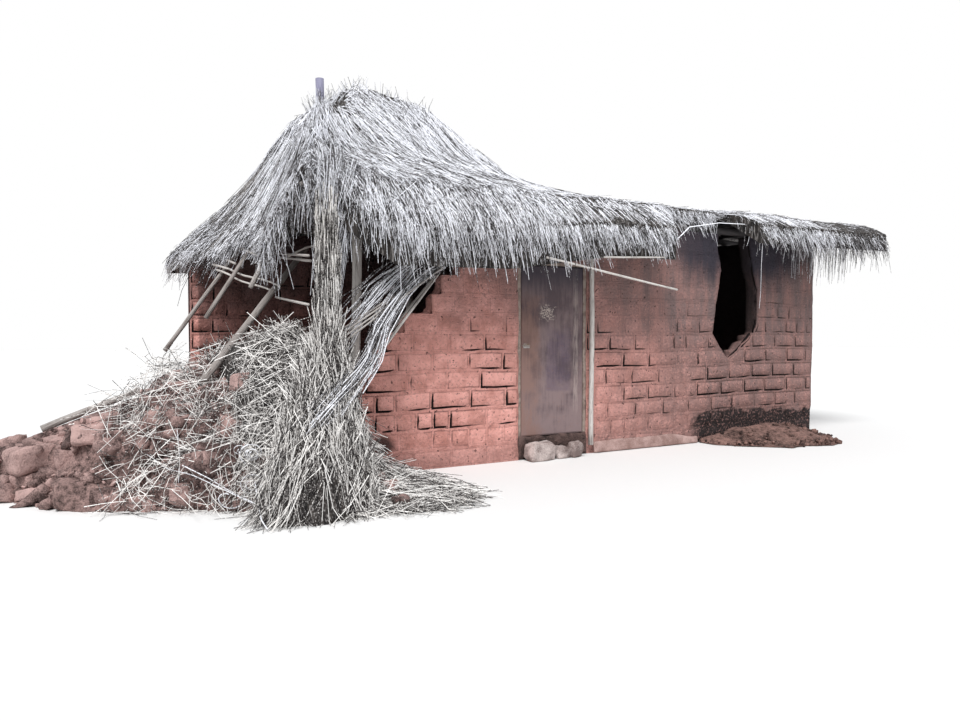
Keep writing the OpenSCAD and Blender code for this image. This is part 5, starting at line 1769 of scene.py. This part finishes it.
            gap = ((x - gap_x) / self.gap_half[0]) ** 2 + ((z - gap_z) / self.gap_half[1]) ** 2 + (y > gap_y)
            paths = paths[(gap.min(axis=1) > 1.0) | (rng.random(count) < 0.12)]
        lay_stalks(f"{node}_stalks", paths, radii, straw, rng, -0.1)

    def strewn(self, straw: bpy.types.Material) -> None:
        """Small clumps of stalks strewn over the front of the rubble."""
        rng = np.random.default_rng(91)
        place, normal = scattered("rubble_heap", self.strewn_clumps * 4, rng, 0.2)
        x, y = place[:, 0], place[:, 1]
        left, right = self.strewn_x
        near = (y < self.strewn_back) & (x > left + 0.5 * rng.random(len(place))) & (x < right)
        near &= (y < self.front_y) | (x > self.front_x)
        place, normal = place[near][:self.strewn_clumps], normal[near][:self.strewn_clumps]
        wild = rng.normal(0.0, 1.0, place.shape) + np.array([-0.4, -0.8, -0.6])
        lie = along_surface(wild, normal)
        place, normal, lie = (np.repeat(part, self.clump, axis=0) for part in (place, normal, lie))
        count = len(place)
        place = place + rng.normal(0.0, 0.085, (count, 3))
        lie = unit(lie + rng.normal(0.0, 0.55, (count, 3)))
        length = rng.uniform(0.15, 0.6, count)[:, None]
        lift = rng.uniform(0.015, 0.06, count)[:, None]
        bow = rng.normal(0.0, 0.16, (count, 3))
        shares = np.linspace(-0.5, 0.5, 4)
        paths = np.stack([place + lie * length * s + normal * lift + bow * (s * s - 0.12) for s in shares], 1)
        paths = paths[off_pole(paths, leftmost_fallen_pole(), self.log_room)]
        lay_stalks("strewn_stalks", paths, (0.0018, 0.004), straw, rng)

    def build(self, finishes: dict[str, bpy.types.Material]) -> None:
        """Makes the heap and the fallen straw."""
        self.rubble(finishes["rubble"], finishes["heap"])
        self.loose("straw_mound", self.mound_stalks, finishes["fallen"], None, 81)
        down = unit(np.array(self.down))
        self.loose("hanging_straw", self.hanging_stalks, finishes["fallen"], down, 82)
        self.strewn(finishes["fallen"])
        for node in ("straw_mound", "hanging_straw"):
            verts, quads = remeshed(node, self.straw_voxel)
            body = object_from(f"{node}_body", Shell(settled(node, verts), quads), finishes["packed"], True)
            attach(body, "hut")
            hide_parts(node)


@dataclass
class ReedMat:
    """Reeds of a lath mat that slid off the front: a close bundle to the heap and a thin fan over the gap."""

    bundle: tuple[Point, ...] = (
        (-1.77, -1.62, 2.09), (-2.36, -1.76, 1.77), (-2.75, -2.00, 1.37), (-2.96, -2.26, 1.07),
        (-3.36, -2.62, 0.80), (-3.66, -2.74, 0.57))
    fan: tuple[Point, ...] = (
        (-1.98, -1.64, 2.13), (-2.30, -1.70, 1.98), (-2.62, -1.78, 1.74), (-2.86, -1.86, 1.46),
        (-3.05, -1.92, 1.18))
    counts: tuple[int, int] = (46, 40)
    spreads: tuple[tuple[float, float], ...] = ((0.022, 0.075), (0.035, 0.15))
    radii: tuple[float, float] = (0.0032, 0.0065)
    rings: int = 9

    def family(self, line: tuple[Point, ...], spread: tuple[float, float], count: int,
               rng: np.random.Generator) -> Array:
        """Paths along a line, offset by an amount that grows from its start to its end, each with crooks."""
        first = rng.uniform(0.0, 0.22, (count, 1))
        last = rng.uniform(0.7, 1.0, (count, 1))
        share = first + (last - first) * np.linspace(0.0, 1.0, self.rings)[None]
        path = on_line(line, share)
        apart = rng.normal(0.0, 1.0, (count, 1, 3)) * np.array([1.0, 0.3, 0.7])
        cross = rng.normal(0.0, 0.6, (count, 1, 3)) * (share[..., None] - 0.5)
        path += (apart + cross) * (spread[0] + (spread[1] - spread[0]) * share[..., None])
        crook = 0.01 * np.sin(share * 16.0 + rng.uniform(0, 6.3, (count, 1)))
        return path + crook[..., None] * np.array([1.0, 0.3, -0.8])

    def build(self, wood: bpy.types.Material) -> None:
        """Makes the reeds beside the straight ones of the solid."""
        rng = np.random.default_rng(95)
        for number, line in enumerate((self.bundle, self.fan)):
            paths = self.family(line, self.spreads[number], self.counts[number], rng)
            radii = rng.uniform(*self.radii, len(paths))[:, None] * np.linspace(1.0, 0.75, self.rings)[None]
            shell = tubes(paths, radii, 5, rng.random(len(paths)))
            obj = object_from(f"reed_mat_{number + 1}", shell, wood, True)
            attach(obj, "hut")
        log.info("reeds: %d", sum(self.counts))


@dataclass
class LooseLaths:
    """Thin laths that still lie across the rafters of the open left end."""

    lines: tuple[tuple[Point, Point], ...] = (
        ((-3.64, 0.60, 2.07), (-3.24, -0.66, 1.80)), ((-3.62, 0.52, 2.01), (-3.28, -0.58, 1.74)),
        ((-3.46, 0.50, 2.33), (-3.36, -0.66, 2.02)), ((-3.05, -0.30, 2.12), (-3.00, -1.30, 2.20)))
    radius: float = 0.012
    rings: int = 9

    def build(self, wood: bpy.types.Material) -> None:
        """Makes the laths: straight lines with a small bow of smooth noise."""
        ends = np.array(self.lines)
        share = np.linspace(0.0, 1.0, self.rings)[None, :, None]
        paths = ends[:, 0:1] + (ends[:, 1:2] - ends[:, 0:1]) * share
        place = paths.reshape(-1, 3)
        bow = np.stack([lattice_noise(place, 0.35, 96 + axis) for axis in range(3)], axis=-1) * 0.02
        paths = paths + bow.reshape(paths.shape)
        radii = np.broadcast_to(self.radius * np.linspace(1.0, 0.75, self.rings), paths.shape[:2])
        obj = object_from("loose_laths", tubes(paths, radii, 6, np.full(len(paths), 0.8)), wood, True)
        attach(obj, "hut")
        log.info("loose laths: %d", len(paths))


@dataclass
class HeapVines:
    """Dry vines in the heap: long bent stems over the clods, and coils beside the hanging straw."""

    stems: tuple[tuple[Point, ...], ...] = (
        ((-4.61, -1.84, 0.40), (-4.49, -1.99, 0.30), (-4.36, -2.28, 0.29), (-4.23, -2.36, 0.22),
         (-3.99, -2.55, 0.09)),
        ((-4.42, -2.24, 0.36), (-4.26, -2.37, 0.27), (-4.14, -2.37, 0.18), (-3.96, -2.58, 0.08)),
        ((-3.95, -2.46, 0.23), (-3.97, -2.62, 0.13), (-4.04, -2.99, 0.07), (-4.02, -3.07, 0.02)),
        ((-4.41, -1.96, 0.59), (-4.40, -2.02, 0.37), (-4.44, -2.16, 0.16)))
    coils: tuple[tuple[float, float, float, float, float], ...] = (
        (-4.01, -2.24, 0.44, 0.05, 1.4), (-3.94, -2.34, 0.42, 0.10, 3.4), (-3.97, -2.44, 0.22, 0.12, 1.7),
        (-4.14, -2.42, 0.12, 0.125, 0.8))
    radii: tuple[float, float] = (0.0028, 0.0046)
    rings: int = 44
    evenings: int = 4

    def build(self, wood: bpy.types.Material) -> None:
        """Makes stems from lines rounded by averaging, and coils that widen and narrow as they turn."""
        rng = np.random.default_rng(97)
        share = np.linspace(0.0, 1.0, self.rings)
        rows = [on_line(stem, share) for stem in self.stems]
        for x, y, z, size, turns in self.coils:
            angle = share * 2.0 * np.pi * turns + rng.uniform(1.4, 2.4)
            wide = size * (0.3 + 0.7 * share) * (1.0 + 0.2 * np.sin(share * 9.0 + rng.uniform(0.0, 6.3)))
            ring = np.stack([wide * np.cos(angle), 0.06 * (share - 0.5), 0.8 * wide * np.sin(angle)], axis=-1)
            rows.append(np.array([x, y, z]) + ring)
        paths = np.stack(rows)
        for _ in range(self.evenings):
            paths[:, 1:-1] = 0.5 * paths[:, 1:-1] + 0.25 * (paths[:, :-2] + paths[:, 2:])
        paths[..., 2] = np.maximum(paths[..., 2], self.radii[1])
        radii = rng.uniform(*self.radii, len(paths))[:, None] * np.ones(self.rings)[None]
        obj = object_from("heap_vines", tubes(paths, radii, 5, np.full(len(paths), 0.75)), wood, True)
        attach(obj, "hut")
        log.info("heap vines: %d", len(paths))


@dataclass
class GroundWork:
    """Low mud forms against the walls: skirting, washed soil, step and stones, all uneven."""

    voxels: dict[str, tuple[float, float, str]] = field(default_factory=lambda: {
        "washed_soil": (0.032, 0.022, "washed"), "mud_skirting": (0.014, 0.006, "pale"),
        "door_step": (0.022, 0.02, "soil"), "doorway_stones": (0.015, 0.014, "stone")})
    clods: int = 220
    soil_soften: int = 8
    stone_soften: int = 2
    pale_stones_x: tuple[float, float] = (-0.54, -0.44)

    def build(self, finishes: dict[str, bpy.types.Material]) -> None:
        """Makes each form again from small faces moved by smooth noise, and clods on the soil."""
        for number, (node, (voxel, height, key)) in enumerate(self.voxels.items()):
            soften = self.stone_soften if node == "doorway_stones" else self.soil_soften
            verts, quads = remeshed(node, voxel, soften)
            verts[:, 2] += 0.25 * voxel
            seed = 300 + number * 10
            noise = lattice_noise(verts, voxel * 7, seed) + 0.6 * lattice_noise(verts, voxel * 2.6, seed + 1)
            verts = verts.copy()
            front = verts[:, 1] < verts[:, 1].max() - 0.02
            free = verts[:, 2] > 0.012
            verts[free, 2] += noise[free] * height
            verts[front, 1] += lattice_noise(verts[front] + 3.0, voxel * 6, seed + 2) * height
            if node == "mud_skirting":
                verts = self.thinned(verts, noise)
            tone = 0.5 + 0.4 * noise
            if node == "doorway_stones":
                tone = tone - 0.65 * smooth_step(*self.pale_stones_x, verts[:, 0])
            verts[:, 2] = np.maximum(verts[:, 2], 0.0)
            obj = object_from(f"{node}_form", Shell(verts, quads, tone=tone), finishes[key], True)
            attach(obj, "hut")
            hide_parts(node)
        rng = np.random.default_rng(305)
        place, normal = scattered("washed_soil", self.clods, rng, 0.3)
        half = rng.uniform(0.006, 1.0, (self.clods, 1)) ** 3 * 0.03 + 0.006
        half = half * rng.uniform(0.6, 1.2, (self.clods, 3))
        angle = rng.uniform(0.0, 6.3, (self.clods, 3))
        shell = blocks(place + normal * half[:, 2:3] * 0.4, half, turned(angle), half.min(axis=1) * 0.5,
                       0.005, 306, CLOD_STEPS)
        shell.verts[:, 2] = np.maximum(shell.verts[:, 2], 0.001)
        obj = object_from("washed_soil_clods", shell, finishes["washed"], True)
        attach(obj, "hut")
        log.info("ground work: %d forms", len(self.voxels))

    @staticmethod
    def thinned(verts: Array, noise: Array) -> Array:
        """The skirting's points, its front drawn in towards the wall upwards and its top worn uneven."""
        verts = verts.copy()
        wall, height, right = verts[:, 1].max(), verts[:, 2].max(), verts[:, 0].max()
        share = np.clip(verts[:, 2] / height, 0.0, 1.0)
        verts[:, 1] = wall + (verts[:, 1] - wall) * (1.0 - 0.72 * share ** 1.6)
        ragged = 0.16 * np.abs(lattice_noise(verts * np.array([1.0, 0.0, 0.0]), 0.3, 330)) + 0.03 * noise
        ragged += 0.4 * smooth_step(right - 0.5, right, verts[:, 0])
        verts[:, 2] *= 1.0 - np.clip(ragged, 0.0, 0.6) * share
        return verts


@dataclass
class DoorFace:
    """Thin dented sheet over the front of the leaf, with pressed ribs near its hinge edge."""

    proud: float = 0.0016
    edge: float = 0.004
    ribs: tuple[float, ...] = (0.83, 0.9)
    rib_height: float = 0.0022
    rib_width: float = 0.009
    grid: tuple[int, int] = (70, 130)

    def build(self, sheet: bpy.types.Material) -> None:
        """Makes the sheet: a grid whose depth is smooth noise plus a ridge at each rib."""
        low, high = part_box("door_leaf")
        rows, cols = self.grid
        x, z = np.meshgrid(np.linspace(low[0] + self.edge, high[0] - self.edge, rows),
                           np.linspace(low[2] + self.edge, high[2] - self.edge, cols), indexing="ij")
        points = np.stack([x, np.zeros_like(x), z], axis=-1).reshape(-1, 3)
        dents = 0.0016 * lattice_noise(points, 0.33, 401) + 0.0005 * lattice_noise(points, 0.07, 402)
        dents = dents.reshape(x.shape)
        share = (x - low[0]) / (high[0] - low[0])
        for rib in self.ribs:
            dents += self.rib_height * np.exp(-((share - rib) / self.rib_width) ** 2)
        border = np.minimum(np.minimum(x - low[0], high[0] - x), np.minimum(z - low[2], high[2] - z))
        depth = self.proud + 0.002 + dents * smooth_step(0.01, 0.05, border)
        y = low[1] - np.maximum(depth, 0.0006)
        verts = np.stack([x, y, z], axis=-1).reshape(-1, 3)
        loop = border_loop(rows, cols)
        rear = verts[loop].copy()
        rear[:, 1] = low[1] + 0.0004
        back = rows * cols + np.arange(len(loop))
        rim = np.stack([loop, back, np.roll(back, -1), np.roll(loop, -1)], axis=-1)
        fan = np.stack([np.full(len(loop) - 2, back[0]), back[2:], back[1:-1]], axis=-1)
        shell = Shell(np.concatenate([verts, rear]), np.concatenate([grid_quads(rows, cols), rim]), fan)
        obj = object_from("door_leaf_face", shell, sheet, True)
        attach(obj, "door")
        log.info("door face: %d faces", len(shell.quads))


@dataclass
class Stage:
    """Floor, light and camera."""

    eye: Point = (-5.33, -8.12, 1.32)
    yaw: float = math.radians(30.3)
    pitch: float = math.radians(-1.96)
    lens: float = 28.5
    sensor: float = 36.0
    far: float = 500.0
    floor_half: float = 60.0
    floor_colour: Rgb = (0.80, 0.79, 0.78)
    sky_colour: Rgb = (0.92, 0.96, 1.0)
    sky_strength: float = 0.62
    sun_energy: float = 3.0
    sun_angle: float = math.radians(25.0)
    sun_way: Point = (0.42, 0.55, -0.95)

    def camera(self) -> None:
        """Camera where the photograph was taken."""
        data = bpy.data.cameras.new("camera")
        data.lens = self.lens
        data.sensor_width = self.sensor
        data.clip_end = self.far
        obj = bpy.data.objects.new("camera", data)
        bpy.context.scene.collection.objects.link(obj)
        ahead = Vector((math.sin(self.yaw) * math.cos(self.pitch),
                        math.cos(self.yaw) * math.cos(self.pitch), math.sin(self.pitch)))
        obj.location = self.eye
        obj.rotation_euler = ahead.to_track_quat("-Z", "Y").to_euler()
        bpy.context.scene.camera = obj

    def floor(self) -> None:
        """Plain pale floor."""
        bench = Bench("floor")
        h = self.floor_half
        verts = np.array([[-h, -h, 0.0], [h, -h, 0.0], [h, h, 0.0], [-h, h, 0.0]])
        material = bench.finish(self.floor_colour, 0.95)
        obj = object_from("floor", Shell(verts, np.array([[0, 1, 2, 3]])), material, False)

    def light(self) -> None:
        """Soft sky and a broad sun from the front left, with a white backdrop for the camera."""
        scene = bpy.context.scene
        scene.view_settings.view_transform = "Standard"
        world = bpy.data.worlds.new("sky")
        scene.world = world
        world.use_nodes = True
        tree = world.node_tree
        tree.nodes.clear()
        output, mix, path, sky, white = (tree.nodes.new(kind) for kind in (
            "ShaderNodeOutputWorld", "ShaderNodeMixShader", "ShaderNodeLightPath",
            "ShaderNodeBackground", "ShaderNodeBackground"))
        sky.inputs[0].default_value = (*self.sky_colour, 1.0)
        sky.inputs[1].default_value = self.sky_strength
        white.inputs[0].default_value = (1.0, 1.0, 1.0, 1.0)
        white.inputs[1].default_value = 1.0
        seen = path.outputs["Is Camera Ray"]
        for ray in ("Is Glossy Ray", "Is Transmission Ray"):
            either = tree.nodes.new("ShaderNodeMath")
            either.operation = "MAXIMUM"
            tree.links.new(seen, either.inputs[0])
            tree.links.new(path.outputs[ray], either.inputs[1])
            seen = either.outputs[0]
        tree.links.new(seen, mix.inputs[0])
        tree.links.new(sky.outputs[0], mix.inputs[1])
        tree.links.new(white.outputs[0], mix.inputs[2])
        tree.links.new(mix.outputs[0], output.inputs[0])
        data = bpy.data.lights.new("sun", "SUN")
        data.energy = self.sun_energy
        data.angle = self.sun_angle
        sun = bpy.data.objects.new("sun", data)
        scene.collection.objects.link(sun)
        sun.rotation_euler = Vector(self.sun_way).to_track_quat("-Z", "Y").to_euler()

    def build(self) -> None:
        """Sets the stage."""
        self.camera()
        self.floor()
        self.light()


def roof_from_frame() -> Roof:
    """The roof's form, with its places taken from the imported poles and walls."""
    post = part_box("apex_post")
    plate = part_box("front_plate_pole")
    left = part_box("left_end_wall_stub")[0][0]
    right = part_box("right_end_wall")[1][0]
    apex_x = 0.5 * (post[0][0] + post[1][0])
    wall_t = 0.2
    return Roof(
        apex_x=apex_x,
        verge_x=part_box("front_thatch")[1][0],
        right_x=right,
        end_run=apex_x - left - 0.5 * wall_t,
        plate_y=-0.5 * (plate[0][1] + plate[1][1]),
        plate_z=0.5 * (plate[0][2] + plate[1][2]),
    )


def wall_list() -> list[BrickWall | WallBed]:
    """The walls, with where their bond starts and how high their joints are open, and their beds."""
    door_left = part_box("front_wall_left")[1][0]
    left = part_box("left_end_wall_stub")[0][0]
    along, across = WallAxis.ALONG, WallAxis.ACROSS
    front = ((-3.0, -1.0, -0.1, 0.8, 1.8, 2.8, 3.75), (1.3, 1.35, 1.4, 1.35, 1.35, 1.65, 1.6))
    back = ((-3.75, -1.0, 1.5, 3.75), (2.3, 1.9, 2.1, 1.7))
    end = ((-1.5, 0.0, 1.5), (1.6, 2.0, 1.8))
    outer, rear, both = WorkedFace.FRONT, WorkedFace.REAR, WorkedFace.BOTH
    fronts = ("front_wall_left", "front_wall_over_door", "front_wall_middle", "front_wall_under_window",
              "front_wall_right")
    walls: list[BrickWall | WallBed] = [
        BrickWall("front_wall", fronts, along, outer, door_left, front, 11),
        BrickWall("right_end", ("right_end_wall",), across, rear, -1.3, end, 16),
        BrickWall("back_wall", ("back_wall_left", "back_wall_right"), along, rear, left, back, 17),
        BrickWall("back_wall_inside", ("back_wall_left",), along, outer, left, back, 18, bodied=False),
        BrickWall("left_end", ("left_end_wall_stub",), across, both, -1.3, end, 19),
    ]
    walls += [WallBed(node, along, outer, 0.05) for node in fronts]
    walls += [WallBed("right_end_wall", across, rear, 0.07), WallBed("back_wall_left", along, both, 0.06),
              WallBed("back_wall_right", along, rear, 0.08),
              WallBed("left_end_wall_stub", across, both, 0.05)]
    return walls


def main() -> None:
    """Builds the hut's looks in order and reports each piece."""
    logging.basicConfig(level=logging.INFO, format="%(name)s %(message)s")
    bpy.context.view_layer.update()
    finishes = {
        "mud": MudWall().make(),
        "straw": Straw().make(),
        "fallen": Straw("fallen_straw", grey=(0.26, 0.235, 0.22), pale=(0.93, 0.90, 0.87)).make(),
        "heap": DryEarth("heap_earth", (0.025, 0.017, 0.016), (0.42, 0.275, 0.25), 24.0).make(),
        "packed": StrawBody().make(),
        "wood": PoleWood().make(),
        "sheet": DoorSheet().make(),
        "frame": WornSteel("door_frame", (0.34, 0.28, 0.24), (0.20, 0.15, 0.13), 0.0).make(),
        "steel": WornSteel("hinge_steel", (0.42, 0.40, 0.39), (0.22, 0.15, 0.11), 0.6).make(),
        "earth": DryEarth("earth", (0.24, 0.125, 0.085), (0.45, 0.26, 0.19)).make(),
        "soil": DryEarth("heap_soil", (0.02, 0.014, 0.013), (0.15, 0.095, 0.085), 14.0).make(),
        "washed": DryEarth("washed_soil", (0.02, 0.013, 0.012), (0.33, 0.195, 0.165), 26.0).make(),
        "rubble": DryEarth("rubble", (0.045, 0.028, 0.026), (0.55, 0.37, 0.34), 9.0).make(),
        "pale": DryEarth("pale_mud", (0.26, 0.16, 0.14), (0.52, 0.36, 0.33)).make(),
        "stone": DryEarth("pale_stone", (0.20, 0.15, 0.14), (0.66, 0.56, 0.53), 9.0).make(),
    }
    Stage().build()
    for wall in wall_list():
        wall.build(finishes["mud"])
    Thatch(roof_from_frame()).build(finishes["straw"], finishes["packed"])
    PoleWork().build(finishes["wood"])
    FallenEnd().build(finishes)
    ReedMat().build(finishes["straw"])
    LooseLaths().build(finishes["wood"])
    HeapVines().build(finishes["straw"])
    GroundWork().build(finishes)
    DoorFace().build(finishes["sheet"])
    for node, key, slot in (
            ("earth_floor", "earth", "earth"), ("door_frame", "frame", "door_frame"),
            ("door_leaf", "sheet", "door_sheet"), ("door_hinge_pins", "steel", "hinge_steel"),
            ("door_hinge_knuckles", "steel", "hinge_steel"), ("door_bolt", "steel", "hinge_steel")):
        dress_node(node, finishes[key])
    added = [o.data for o in bpy.data.objects if o.type == "MESH" and o.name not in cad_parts]
    total = sum(len(polygon.vertices) - 2 for mesh in added for polygon in mesh.polygons)
    log.info("triangles in all: %d", total)
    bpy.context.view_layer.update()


if __name__ == "__main__":
    main()
